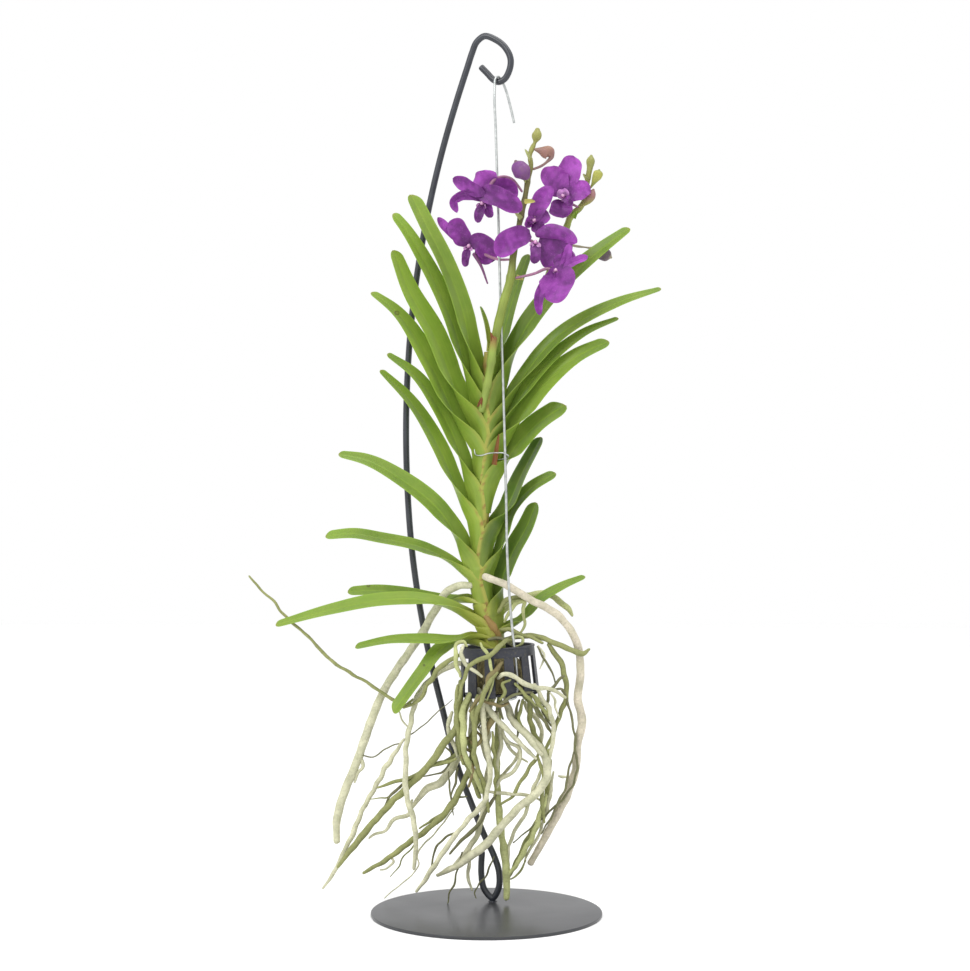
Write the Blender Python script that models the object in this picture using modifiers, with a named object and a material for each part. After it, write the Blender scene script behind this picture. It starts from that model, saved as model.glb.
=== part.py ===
"""A vanda orchid in a small plastic basket, hung by a wire from a bent steel stand.

The plant is a set of grown pieces: stem, leaves, flower stalks, flowers, buds and roots.
The holder is a round plate, a bent rod, a hanger wire, a slatted basket and a wire tie.
The origin is the middle of the plate's underside. X runs to the right of the front view,
Y away from it and Z up. Lengths below are millimetres, and MM turns them into metres.
"""
import math

import bpy
import bmesh
from mathutils import Vector

MM = 0.001
GAP = 0.3                      # clearance between a piece and what carries it
HANG_Y = 40.0                  # the plant hangs this far behind the plate's middle

PLATE_DIAMETER = 220.0
PLATE_THICKNESS = 3.0
PLATE_EDGE_BEVEL = 0.5

ROD_DIAMETER = 6.3
WIRE_DIAMETER = 2.5
TIE_DIAMETER = 1.3

BASKET_HEIGHT = 47.6
BASKET_RIM_RADIUS = 35.5
BASKET_FOOT_RADIUS = 39.0
BASKET_WALL = 2.2
BASKET_FLOOR = 2.5
BASKET_HOLE_RADIUS = 19.0
BASKET_BAND_HEIGHT = 9.6
BASKET_SLOTS = 12
BASKET_SLOT_WIDTH = 9.0
BASKET_SLOT_INNER_RADIUS = 24.0
BASKET_FIRST_SLOT = math.radians(1.0)
BASKET_TILT = math.radians(-2.7)
BASKET_PLACE = (13.0, HANG_Y, 204.7)

LEAF_THICKNESS = 1.6
LEAF_GAP = 0.42                # from the stem to a blade's folded base
LEAF_KEEL_DEPTH = 0.17         # keel depth as a share of the blade's width
PETAL_THICKNESS = 1.2

# The rod: hook's free end, over the top, down the bow, round the foot loop and up again.
ROD_ROUTE = [
    (-5.5, 47, 816.5), (0.5, 45, 810), (7.5, 42.5, 802.5), (11.5, 41, 800.5), (17, 39, 802.5),
    (22, 37, 810.5), (23.5, 36.5, 821), (18.5, 38.5, 833), (8.5, 42, 842), (-2.5, 46, 846),
    (-9.5, 48.5, 841), (-14, 50.5, 831), (-18, 52, 819), (-29.5, 56, 784), (-46.5, 62, 725),
    (-62.5, 68, 652), (-72, 71.5, 590), (-78, 73.5, 517.5), (-79.5, 74, 463),
    (-78.5, 74, 413.5), (-72.5, 71.5, 334.5), (-59.5, 67, 255.5), (-42, 60.5, 183.5),
    (-30, 56, 138), (-13, 50, 93), (-0.5, 45.5, 63.5), (7, 42.5, 48.5), (12.5, 40.5, 30),
    (11.5, 41, 15.5), (6, 43, 6.6), (-1.5, 45.5, 13.5), (-5, 47, 29), (-5, 47, 39.5),
    (-4.2, 46.5, 51),
]
# It is modelled in four lengths, each from where the last one ends to this point of the route.
# Each length bends its own way, so the hook's eye, the bow and the foot loop stay open.
ROD_LENGTHS = [("stand_hook", 12), ("stand_rod_upper", 18), ("stand_rod_lower", 25),
               ("stand_foot", 33)]
ROD_STEPS = 2

# The hanger wire: free end, over the rod, down in front of the plant, foot under the basket.
WIRE_ROUTE = [
    (27, 46, 761.5), (23, 46.5, 779), (18, 46.5, 796), (15, 45, 802.5), (11.5, 41, 805.4),
    (8.8, 37, 803), (8, 35.3, 793.5), (9, 34, 752.5), (11.5, 31, 669.5), (13.5, 27.5, 587),
    (16.5, 23.5, 490.5), (18.5, 20.5, 413.5), (20.5, 17, 327), (25.5, 13.6, 262),
    (28.5, 13.5, 235), (29, 13.6, 209), (28.2, 13.2, 205.2), (25.5, 12, 203.6), (21.5, 10.2, 203.4),
]

# The wire tie: once round the stem and the hanger wire.
TIE_ROUTE = [
    (-11.8, 37.5, 444), (-10.5, 34, 438), (-5.5, 29.6, 437), (2, 26.8, 439), (10, 21.5, 439.5),
    (17, 18.2, 439), (20.7, 18.8, 437), (20.6, 22.6, 435), (15, 27.5, 433.5), (10.8, 34, 433),
    (10.8, 41, 433), (8, 48, 433.5), (1, 51.4, 434), (-6, 50, 435), (-11, 45.5, 436.5),
    (-12.6, 41, 438),
]

# The stem, foot to top, with its radius at each point.
STEM_ROUTE = [
    (8.6, 40, 244.9, 8.4), (8.2, 40, 251, 9.2), (4, 40, 269, 9.5), (-2, 40, 289, 9.0),
    (-5, 40, 311, 8.4), (-6, 40, 340, 8.0), (-4, 40, 394, 8.0), (-2, 40, 428, 8.2), (1, 40, 452, 8.0),
    (2, 40, 491, 7.4), (2, 40, 520, 6.0), (1, 40, 538, 4.0),
]

# Each leaf: its side (-1 left, 1 right), the angle round the stem at which it is attached,
# its width, the tilt of its blade away from the front plane, and its midline. The first
# point gives the joint's height and a small shift in X; the place is on the stem's surface.
LEAVES = {
    "leaf_left_02": (-1, 180, 25, 42, [
        (0, 0, 498), (-12, 39, 538), (-24, 38, 588), (-40, 38, 629), (-57, 39, 662), (-72, 41, 692)]),
    "leaf_left_03": (-1, 180, 24, 42, [
        (0, 0, 482), (-18, 39, 524), (-34, 37, 576), (-58, 35, 625), (-80, 34, 660), (-90, 34, 672)]),
    "leaf_left_04": (-1, 180, 28, 42, [
        (0, 0, 468), (-24, 40, 497), (-50, 38, 559), (-73, 36, 598), (-89, 36, 637)]),
    "leaf_left_05": (-1, 180, 26, 42, [
        (0, 0, 447), (-27, 40, 476), (-54, 37, 530), (-88, 35, 579), (-111, 34, 596)]),
    "leaf_left_06": (-1, 180, 22, 42, [
        (0, 0, 402), (-24, 40, 441), (-45, 37, 485), (-69, 36, 517), (-96, 35, 536)]),
    "leaf_left_07": (-1, 180, 21, 42, [
        (0, 0, 376), (-26, 42, 404), (-46, 44, 449), (-72, 44, 490), (-103, 45, 521)]),
    "leaf_left_08": (-1, 188, 24, 42, [
        (0, 0, 331), (-27, 38, 361), (-48, 34, 389), (-82, 31, 416), (-117, 30, 434), (-143, 30, 439)]),
    "leaf_left_09": (-1, 180, 17, 50, [
        (0, 0, 318), (-34, 44, 335), (-60, 46, 348), (-104, 46, 358), (-128, 45, 362), (-157, 44, 360)]),
    "leaf_left_10": (-1, 180, 16, 42, [
        (-0.1, 0, 297), (-17, 41.2, 297), (-27, 48, 297), (-46, 60, 297), (-80, 59, 303),
        (-109, 56, 306), (-136, 55, 305)]),
    "leaf_left_11": (-1, 186, 19, 50, [
        (0, 0, 275), (-28, 33, 289), (-55, 30, 298), (-98, 31, 299), (-151, 30, 289), (-204, 28, 274)]),
    "leaf_left_12": (-1, 192, 13, 55, [
        (0, 0, 263), (-30, 29, 260), (-59, 26, 261), (-93, 26, 260), (-127, 26, 253)]),
    "leaf_left_13": (-1, 180, 18, 45, [
        (0, 0, 255), (-24, 40, 258), (-44, 37, 251), (-64, 30, 227), (-91, 24, 190)]),
    "leaf_right_01": (1, 10, 18, 42, [
        (0, 0, 516), (13, 44, 545), (20, 46, 575), (31, 46, 610), (40, 46, 634)]),
    "leaf_right_02": (1, 0, 26, 42, [
        (0, 0, 497), (23, 39, 538), (57, 36, 590), (105, 34, 634), (138, 32, 658)]),
    "leaf_right_03": (1, 0, 19, 42, [
        (0, 0, 471), (28, 38, 505), (71, 36, 556), (129, 34, 587), (169, 32, 599)]),
    "leaf_right_04": (1, 0, 16, 42, [
        (0, 0, 455), (28, 38, 489), (67, 37, 537), (96, 37, 558), (128, 38, 571)]),
    "leaf_right_05": (1, 0, 26, 42, [
        (0, 0, 443), (31, 38, 476), (55, 35, 508), (86, 34, 534), (118, 34, 549)]),
    "leaf_right_06": (1, 0, 28, 42, [
        (0, 0, 418), (23, 40, 443), (47, 38, 469), (75, 36, 488)]),
    "leaf_right_07": (1, 0, 20, 55, [
        (0, 0, 362), (17, 41, 386), (31, 42, 418), (52, 44, 456)]),
    "leaf_right_08": (1, 3, 17, 45, [
        (-0.2, 0, 325), (12, 42, 347), (24, 44, 386), (43, 45, 407), (67, 45, 421)]),
    "leaf_right_09": (1, 5, 22, 45, [
        (0, 0, 284), (12, 42, 313), (24, 44, 345), (38, 45, 370), (47, 45, 392)]),
    "leaf_right_10": (1, 6, 14, 50, [
        (0, 0, 266), (34, 42, 279), (53, 43, 299), (74, 44, 311), (96, 45, 320)]),
}
YOUNG_LEAF_WIDTH = 9.0
YOUNG_LEAF_ROUTE = [(0.5, 40, 538.6), (1, 40, 550), (-1, 40, 564), (-6, 40, 582)]

# Stalks and buds: route points with the radius at each point.
STALKS = {
    "flower_stalk_front": [
        (3, 30.9, 526, 3.4), (10, 22.5, 557, 4.2), (17, 20, 586, 4.4), (23, 20, 606, 4.2),
        (26, 23, 630, 3.8), (31, 26, 657, 3.8), (37, 28, 685, 3.3), (40, 29, 703, 3.0),
        (43, 30, 718, 2.5), (42, 30, 727, 2.2), (45, 31, 736, 2.2), (47, 32, 740.5, 2.2),
        (48, 32, 744, 4.6), (49, 32, 749, 4.4), (49.4, 32, 752.4, 1.6)],
    "flower_stalk_back": [
        (4.6, 49.7, 512, 3.2), (15, 53, 526, 3.5), (33, 54.5, 552, 3.6), (53, 52.5, 586, 3.5),
        (63, 50, 620, 3.4), (71, 49, 645, 3.4), (78, 49, 660, 3.3), (83, 49, 672, 3.0), (91, 49, 679, 3.0),
        (96, 49, 687, 2.6), (99, 49, 708, 2.4), (101, 49, 718, 3.0), (102, 49, 727, 3.4),
        (102.4, 49, 730, 1.4)],
    "old_stalk_stub": [
        (-5, 30.6, 481, 3.4), (-1, 27.4, 497, 3.7), (3, 22.6, 517, 3.8), (6, 17.2, 538, 3.6),
        (7, 15.6, 549, 3.0)],
    "bud_purple": [
        (39.3, 25.5, 704, 1.4), (37.6, 21.4, 706, 5.0), (35.5, 20, 709, 8.2), (32.4, 20, 713, 8.0),
        (29, 20, 718, 5.0), (28, 20, 720, 1.5)],
    "bud_pink": [
        (45.6, 30, 714, 1.3), (53, 30, 717, 1.5), (57.5, 30, 722, 2.6), (59, 30, 727, 5.8),
        (60, 30, 731.5, 6.4), (61, 30, 736.5, 1.6)],
    "bud_yellow": [
        (101, 47.4, 698, 0.9), (103.2, 45.8, 701, 1.4), (105.8, 44.6, 706, 3.4),
        (108, 44, 710, 4.7), (109.4, 44, 714, 3.4), (109.8, 44, 715.4, 1.0)],
    "bud_far": [
        (75.1, 49, 644.3, 0.9), (88, 51, 642, 1.3), (102, 52, 640, 1.6), (108, 52, 638, 4.8),
        (115, 52, 634.5, 6.4), (120, 52, 632, 4.4), (122, 52, 631, 1.2)],
}

# Roots: route points with the radius at each point.
ROOTS = {
    "root_aerial_left": [
        (-14.8, 37, 311, 3.0), (-25, 40, 311, 3.6), (-38, 43.5, 305, 3.8), (-48, 47, 290, 3.9),
        (-61, 51, 267, 3.9),
        (-81, 52, 237, 3.9), (-100, 50, 208, 3.9), (-110, 49, 185, 4.0), (-126, 47, 139, 4.1),
        (-142, 46, 98, 4.1), (-146, 46, 80, 4.0), (-146, 46, 62, 3.4), (-146, 46, 58, 1.4)],
    "root_aerial_right": [
        (-4.4, 30.4, 322, 2.2), (4, 23.6, 319, 3.4), (16, 22.6, 314, 3.6), (42, 26, 298, 3.7),
        (71, 30, 281, 3.7), (87, 34, 257, 3.8), (91, 36, 227, 3.9), (89, 38, 200, 4.0),
        (93, 39, 177, 4.2), (89, 40, 161, 4.0), (86, 40, 129, 4.0), (78, 40, 106, 3.9),
        (65, 40, 81, 3.8), (43, 40, 42, 3.4), (42, 40, 39, 1.4)],
    "root_thin_left": [
        (-71.5, 40.6, 200.2, 1.2), (-80, 42, 193.5, 1.6), (-90, 40, 199, 1.6), (-113, 38, 215, 1.6),
        (-149, 37, 237, 1.6), (-176, 37, 264, 1.5), (-194, 37, 280, 1.4), (-208, 37, 297, 1.3),
        (-224, 37, 312, 1.2), (-230, 37, 320, 1.0)],
    "root_arch_right": [
        (9.2, 47.6, 279, 2.0), (21, 52, 290, 3.3), (39, 54, 300, 3.4), (61, 54, 301, 3.2),
        (79, 53, 288, 2.8), (84, 53, 281, 1.2)],
    "root_arm_right": [
        (16.2, 36.6, 258, 2.2), (37, 33.5, 262.5, 2.7), (52, 32, 261.4, 2.7), (66, 30, 256, 2.6),
        (81, 26.6, 250, 2.6), (95, 26.6, 246, 2.4), (99, 27, 250, 1.4)],
    "root_long_left": [
        (-14.0, 40, 233, 2.0), (-26, 40, 235, 2.6), (-40, 39, 230, 2.7), (-55, 39, 219, 2.7),
        (-69, 38, 199, 2.6), (-72, 34, 185, 2.5), (-76, 27, 165, 2.5), (-78, 21, 129, 2.7),
        (-77, 19, 110, 2.7), (-69, 19, 81, 2.6), (-68, 20, 62, 2.5), (-70, 21, 39, 1.6)],
    "root_branch_left": [
        (-79.9, 28.6, 162.4, 1.4), (-93, 36, 142, 2.3), (-106, 40, 119, 2.3), (-123, 42, 87, 2.4),
        (-133, 42, 63, 2.5), (-147, 42, 34, 2.2), (-159, 42, 16, 1.2)],
    "root_sweep_dark": [
        (-11.9, 25.0, 215, 2.0), (-19, 21, 200, 3.3), (-30, 20, 173, 3.4), (-42, 22, 158, 3.6),
        (-56, 26, 137, 3.5), (-76, 31, 117, 3.3), (-93, 32, 100, 3.2), (-113, 32, 78, 3.2),
        (-130, 32, 57, 2.8), (-144, 32, 39, 1.6)],
    "root_sweep_olive": [
        (3, 40, 203.4, 2.2), (-3, 39, 192, 3.0), (-14, 36, 166, 3.2), (-15, 34, 137, 3.2),
        (-23, 34, 118, 3.2), (-42, 32, 89, 3.2), (-60, 32, 73, 2.8), (-82, 32, 57, 2.8),
        (-98, 32, 45, 2.6), (-119, 32, 33, 1.4)],
    "root_sweep_cream": [
        (17.6, 32, 204, 2.4), (25, 26, 183, 3.6), (42, 22, 165, 4.0), (56, 20, 146, 4.1),
        (59, 20, 132, 4.1), (51, 20, 115, 4.0), (34, 20, 101, 4.0), (18, 20, 84, 4.0),
        (0, 20, 64, 4.0), (-24, 20, 45, 3.6), (-47, 20, 33, 1.8)],
    "root_short_olive": [
        (-12.4, 54.1, 213, 2.0), (-18, 55.5, 199, 3.2), (-23, 51, 174, 3.4), (-24, 45, 150, 3.6),
        (-31, 43, 136, 3.8), (-47, 42, 118, 3.9), (-57, 42, 113, 3.6), (-72, 42, 95, 1.8)],
    "root_plumb_green": [
        (13, 40, 204.5, 2.6), (11, 38, 171, 2.8), (10, 36, 142, 2.8), (11, 35, 113, 3.0),
        (13, 33.5, 84, 3.4), (17, 32.5, 55, 3.6), (19.5, 32, 26, 3.6), (19.5, 32, 7.5, 2.2),
        (19.5, 32, 5.5, 1.0)],
    "root_right_lower": [
        (38, 27.2, 215, 2.2), (42, 24.6, 199, 2.6), (42.5, 31, 180, 2.7), (53, 42, 153, 2.8),
        (61, 45, 126, 2.8), (58, 45, 103, 2.7), (52, 45, 85, 2.7), (41, 45, 64, 2.6),
        (30, 45, 43, 2.2), (22, 45, 26, 1.2)],
    "root_front_pale": [
        (-1.2, 14.4, 216, 1.8), (-3.4, 10, 200, 2.4), (-1, 11, 164, 2.5), (3, 12, 133, 2.5),
        (-2, 12, 106, 2.5), (-20, 12, 85, 2.5), (-37, 12, 63, 2.5), (-54, 12, 37, 2.4),
        (-67, 12, 19, 1.4)],
}

# Flowers: the heart, the direction the flower looks, its stalk, and each petal's tip, width,
# bulge along its length and cupping across it.
FLOWERS = {
    "flower_upper_left": ((-3.5, 19, 680), (-0.2, -1, -0.2), [
        (34.2, 27.4, 692, 1.1), (26.5, 27, 702, 1.4), (16, 27, 709.5, 1.5), (7, 24, 702, 1.6),
        (-1, 20, 685, 1.6)], [
        ((-31.5, 16, 701.5), 13, 2, 1), ((33, 15, 672), 19, 2, 2), ((-1, 22, 712), 24, -3, 2),
        ((21, 24, 700), 20, 2, 2), ((-26.5, 12, 669), 9, -6, 1), ((-8, 11, 659), 11, 2, 2)]),
    "flower_upper_right": ((74.5, 42, 688), (0, -1, 0), [
        (88.7, 46, 679.8, 1.1), (82, 45, 683, 1.4), (76, 43, 687, 1.5)], [
        ((85, 43, 729), 24, 1, 2), ((57, 40, 708), 27, 1, 2), ((101, 40, 697), 19, 1, 1),
        ((72.5, 37, 667.5), 18, 1, 2), ((84.5, 33, 677), 8, 1, 1)]),
    "flower_back_left": ((-13, 54, 640), (-0.1, -1, 0), [
        (23.1, 26.2, 626, 1.1), (11, 40, 628, 1.4), (0, 50, 633, 1.5), (-10, 54, 638, 1.6)], [
        ((-47.5, 54, 670), 9, 1, 1), ((-33, 56, 667), 20, 2, 2), ((-1, 57, 653), 24, 2, 2),
        ((4, 55, 625), 16, 1, 2), ((-23, 50, 621.5), 12, 2, 2), ((1, 54, 605.5), 4, 1, 0)]),
    "flower_centre": ((46.5, 21, 642), (0, -1, 0), [
        (32, 22.4, 646, 1.1), (38, 20.6, 645, 1.4), (44, 20.6, 643, 1.6)], [
        ((11, 16, 639), 28, 1, 2), ((87, 18, 643), 38, 2, 3), ((46.5, 15, 621.5), 7, 1, 1)]),
    "flower_lower_right": ((73, 9, 617), (0, -1, 0), [
        (28.1, 19.6, 607.6, 1.1), (46.5, 15, 611.5, 1.4), (62, 10.5, 615.5, 1.5),
        (70, 9.5, 617, 1.6)], [
        ((98, 9, 627.5), 9, 1, 1), ((78, 8, 641), 9, 1, 1), ((61, 9, 585), 33, 2, 3),
        ((50, 10, 571), 9, 2, 1)]),
    "flower_behind": ((49, 31, 666), (0, -1, 0), [
        (40.1, 29.1, 682, 1.1), (45, 31, 683, 1.3), (48, 32, 676, 1.5), (49, 31, 668, 1.6)], [
        ((58.5, 33, 695), 15, 1, 1), ((62, 30, 671), 14, 1, 1), ((57, 30, 656.5), 11, 1, 1),
        ((39.5, 31.5, 660), 6, 1, 1)]),
}
HEART_RADIUS = 3.2

SATIN_BLACK = ("satin_black_steel", (0.035, 0.038, 0.045), 0.38, 0.9)
PLATE_GREY = ("satin_grey_steel", (0.16, 0.16, 0.17), 0.3, 0.9)
WIRE_GREY = ("galvanised_wire", (0.55, 0.57, 0.56), 0.35, 1.0)
BASKET_BLACK = ("black_plastic", (0.03, 0.032, 0.038), 0.45, 0.0)
STEM_GREEN = ("stem_green", (0.36, 0.33, 0.12), 0.55, 0.0)
LEAF_LIGHT = ("leaf_light_green", (0.22, 0.35, 0.06), 0.4, 0.0)
LEAF_DARK = ("leaf_dark_green", (0.10, 0.19, 0.03), 0.4, 0.0)
STALK_OLIVE = ("stalk_olive", (0.20, 0.23, 0.06), 0.5, 0.0)
PETAL_PURPLE = ("petal_purple", (0.24, 0.04, 0.33), 0.5, 0.0)
BUD_OLIVE = ("bud_olive", (0.28, 0.28, 0.10), 0.5, 0.0)
BUD_PINK = ("bud_pink", (0.35, 0.20, 0.19), 0.5, 0.0)
ROOT_CREAM = ("root_cream", (0.62, 0.60, 0.44), 0.7, 0.0)
ROOT_OLIVE = ("root_olive", (0.22, 0.26, 0.09), 0.7, 0.0)
ROOT_BROWN = ("root_brown", (0.30, 0.22, 0.12), 0.8, 0.0)
OLIVE_ROOTS = (
    "root_thin_left", "root_arm_right", "root_sweep_dark", "root_sweep_olive",
    "root_plumb_green", "root_right_lower",
)


def clear_scene():
    for existing in list(bpy.data.objects):
        bpy.data.objects.remove(existing, do_unlink=True)


def material(finish):
    """The Principled material of one finish, made once."""
    name, colour, roughness, metallic = finish
    if name in bpy.data.materials:
        return bpy.data.materials[name]
    made = bpy.data.materials.new(name)
    made.use_nodes = True
    shader = made.node_tree.nodes["Principled BSDF"]
    shader.inputs["Base Color"].default_value = (*colour, 1.0)
    shader.inputs["Roughness"].default_value = roughness
    shader.inputs["Metallic"].default_value = metallic
    return made


def metres(point):
    return Vector(point[:3]) * MM


def smooth_route(points, steps):
    """A smooth curve through the points: place and any radius blend together.

    Between two points it is the cubic that leaves and arrives with each point's slope. The
    slope weighs the two chords beside the point, and the shorter chord counts for more.
    """
    rows = [Vector((*p[:3], p[3] if len(p) > 3 else 1.0)) for p in points]
    spans = [(b - a).to_3d().length for a, b in zip(rows, rows[1:])]
    chords = [(b - a) / span for a, b, span in zip(rows, rows[1:], spans)]
    slopes = [chords[0]]
    for i in range(1, len(chords)):
        before, after = spans[i - 1], spans[i]
        slopes.append((chords[i - 1] * after + chords[i] * before) / (before + after))
    slopes.append(chords[-1])
    curve = []
    for i, span in enumerate(spans):
        for step in range(steps):
            t = step / steps
            ahead = t * t * (3 - 2 * t)
            curve.append(rows[i] * (1 - ahead) + rows[i + 1] * ahead
                         + slopes[i] * (span * t * (1 - t) ** 2)
                         - slopes[i + 1] * (span * t * t * (1 - t)))
    curve.append(rows[-1])
    return curve


def link(obj, collection, finish=None):
    collection.objects.link(obj)
    if finish:
        obj.data.materials.append(material(finish))
    return obj


def add_bar(name, curve, radius, finish, collection, resolution=2):
    """A round bar through close points: a poly curve with a bevel and closed ends.

    radius scales the point radii, so a route without radii gets one even thickness.
    """
    data = bpy.data.curves.new(name, "CURVE")
    data.dimensions = "3D"
    data.bevel_depth = radius * MM
    data.bevel_resolution = resolution
    data.use_fill_caps = True
    spline = data.splines.new("POLY")
    spline.points.add(len(curve) - 1)
    for target, row in zip(spline.points, curve):
        target.co = (row[0] * MM, row[1] * MM, row[2] * MM, 1.0)
        target.radius = max(row[3], 0.3)
    return link(bpy.data.objects.new(name, data), collection, finish)


def add_tube(name, points, radius, finish, collection, steps=3, resolution=2):
    """A round bar along a smooth route."""
    return add_bar(name, smooth_route(points, steps), radius, finish, collection, resolution)


def add_rod(collection):
    """The stand's rod in its four lengths.

    A cut is in the middle of a straight step of the curve, and the two ends stand a gap apart.
    """
    curve = smooth_route(ROD_ROUTE, ROD_STEPS)
    start = [curve[0]]
    first = 0
    for name, route_point in ROD_LENGTHS:
        last = route_point * ROD_STEPS
        length = start + curve[first + 1:last + 1]
        if last + 1 < len(curve):
            before, after = curve[last], curve[last + 1]
            along = (after - before).normalized()
            middle = (before + after) / 2
            length.append(middle - along * (GAP / 2))
            start = [middle + along * (GAP / 2)]
        add_bar(name, length, 0.5 * ROD_DIAMETER, SATIN_BLACK, collection, resolution=3)
        first = last


def as_mesh(obj):
    """The curve object turned into a welded mesh object of the same place and name."""
    name = obj.name
    collection = obj.users_collection[0]
    bpy.context.view_layer.update()
    evaluated = obj.evaluated_get(bpy.context.evaluated_depsgraph_get())
    mesh = bpy.data.meshes.new_from_object(evaluated)
    place = obj.matrix_world.copy()
    bpy.data.objects.remove(obj, do_unlink=True)
    welder = bmesh.new()
    welder.from_mesh(mesh)
    bmesh.ops.remove_doubles(welder, verts=welder.verts, dist=0.00001)
    bmesh.ops.recalc_face_normals(welder, faces=welder.faces)
    welder.to_mesh(mesh)
    welder.free()
    made = bpy.data.objects.new(name, mesh)
    made.matrix_world = place
    collection.objects.link(made)
    return made


def grid_object(name, rows, collection, finish, thickness):
    """A sheet through rows of points, thickened evenly to both sides."""
    across = len(rows[0])
    points = [p for row in rows for p in row]
    faces = []
    for i in range(len(rows) - 1):
        for j in range(across - 1):
            a = i * across + j
            faces.append((a, a + 1, a + across + 1, a + across))
    mesh = bpy.data.meshes.new(name)
    mesh.from_pydata(points, [], faces)
    obj = link(bpy.data.objects.new(name, mesh), collection, finish)
    thicken = obj.modifiers.new("thickness", "SOLIDIFY")
    thicken.thickness = thickness * MM
    thicken.offset = 0.0
    return obj


def stem_section(height):
    """The stem's axis point and radius at a height."""
    for low, high in zip(STEM_ROUTE, STEM_ROUTE[1:]):
        if low[2] <= height <= high[2]:
            share = (height - low[2]) / (high[2] - low[2])
            return [a + (b - a) * share for a, b in zip(low, high)]
    return list(STEM_ROUTE[-1])


def leaf_base(joint, angle, width, next_point):
    """Where a blade starts: just clear of the stem, at the given angle round it.

    The folded base is a shallow V, and each of its sides just clears the round stem.
    """
    shift, _, height = joint
    x, y, _, radius = stem_section(height)
    turn = math.radians(angle)
    lean = Vector(next_point) - Vector((x, y, height))
    rise = abs(lean.z) / lean.length
    half = 0.5 * width * blade_share(0)
    keel = 2 * half * LEAF_KEEL_DEPTH * rise
    clear = radius + LEAF_GAP + 0.5 * LEAF_THICKNESS * rise
    out = clear * math.hypot(keel, half) / half - keel + half * abs(math.sin(turn))
    return (x + shift + out * math.cos(turn), y + out * math.sin(turn), height)


def blade_share(u):
    """Width of a strap leaf along its length, as a share of its full width."""
    root = 0.38 + 0.62 * min(u / 0.3, 1.0) ** 0.8
    tip = 1.0 - 0.82 * max(0.0, (u - 0.6) / 0.4) ** 2.4
    return root * tip


def add_blade(name, route, side, width, tilt, finish, collection):
    """A keeled strap: three points across, carried along the midline.

    The blade leaves the stem edge-on and turns to its tilt within a third of its length.
    """
    curve = smooth_route(route, 2)
    rows = []
    last = len(curve) - 1
    for i, row in enumerate(curve):
        u = i / last
        here = row.to_3d()
        ahead = curve[min(i + 1, last)].to_3d() - curve[max(i - 1, 0)].to_3d()
        along = ahead.normalized()
        inward = Vector((-side * along.z, 0, side * along.x)).normalized()
        away = along.cross(inward).normalized()
        if away.y < 0:
            away.negate()
        turn = math.radians(90 + (tilt - 90) * min(u / 0.35, 1.0))
        across = inward * math.cos(turn) + away * math.sin(turn)
        face = inward * math.sin(turn) - away * math.cos(turn)
        half = 0.5 * width * blade_share(u)
        keel = here - face * (2 * half * LEAF_KEEL_DEPTH)
        edges = [here - across * half, keel, here + across * half]
        rows.append([p * MM for p in edges])
    return grid_object(name, rows, collection, finish, LEAF_THICKNESS)


def add_leaves(collection):
    for name, (side, angle, width, tilt, route) in LEAVES.items():
        finish = LEAF_LIGHT if side < 0 else LEAF_DARK
        start = leaf_base(route[0], angle, width, route[1])
        add_blade(name, [start] + route[1:], side, width, tilt, finish, collection)
    add_blade("leaf_left_01", YOUNG_LEAF_ROUTE, -1, YOUNG_LEAF_WIDTH, 60, LEAF_LIGHT, collection)


def add_plate(collection):
    bpy.ops.mesh.primitive_cylinder_add(
        vertices=60, radius=0.5 * PLATE_DIAMETER * MM, depth=PLATE_THICKNESS * MM,
        location=(0, 0, 0.5 * PLATE_THICKNESS * MM))
    plate = bpy.context.object
    plate.name = "base_plate"
    for holder in list(plate.users_collection):
        holder.objects.unlink(plate)
    link(plate, collection, PLATE_GREY)
    edge = plate.modifiers.new("edge", "BEVEL")
    edge.width = PLATE_EDGE_BEVEL * MM
    edge.segments = 1


def turned(name, profile, segments, collection, finish):
    """A body turned about Z from a closed profile of (radius, height) points."""
    mesh = bpy.data.meshes.new(name)
    points = [(r * MM, 0.0, z * MM) for r, z in profile]
    edges = [(i, i + 1) for i in range(len(points) - 1)]
    if profile[0][0] > 0:
        edges.append((len(points) - 1, 0))
    mesh.from_pydata(points, edges, [])
    obj = link(bpy.data.objects.new(name, mesh), collection, finish)
    screw = obj.modifiers.new("turn", "SCREW")
    screw.axis = "Z"
    screw.steps = segments
    screw.render_steps = segments
    screw.use_merge_vertices = True
    screw.merge_threshold = 0.00001
    return obj


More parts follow.
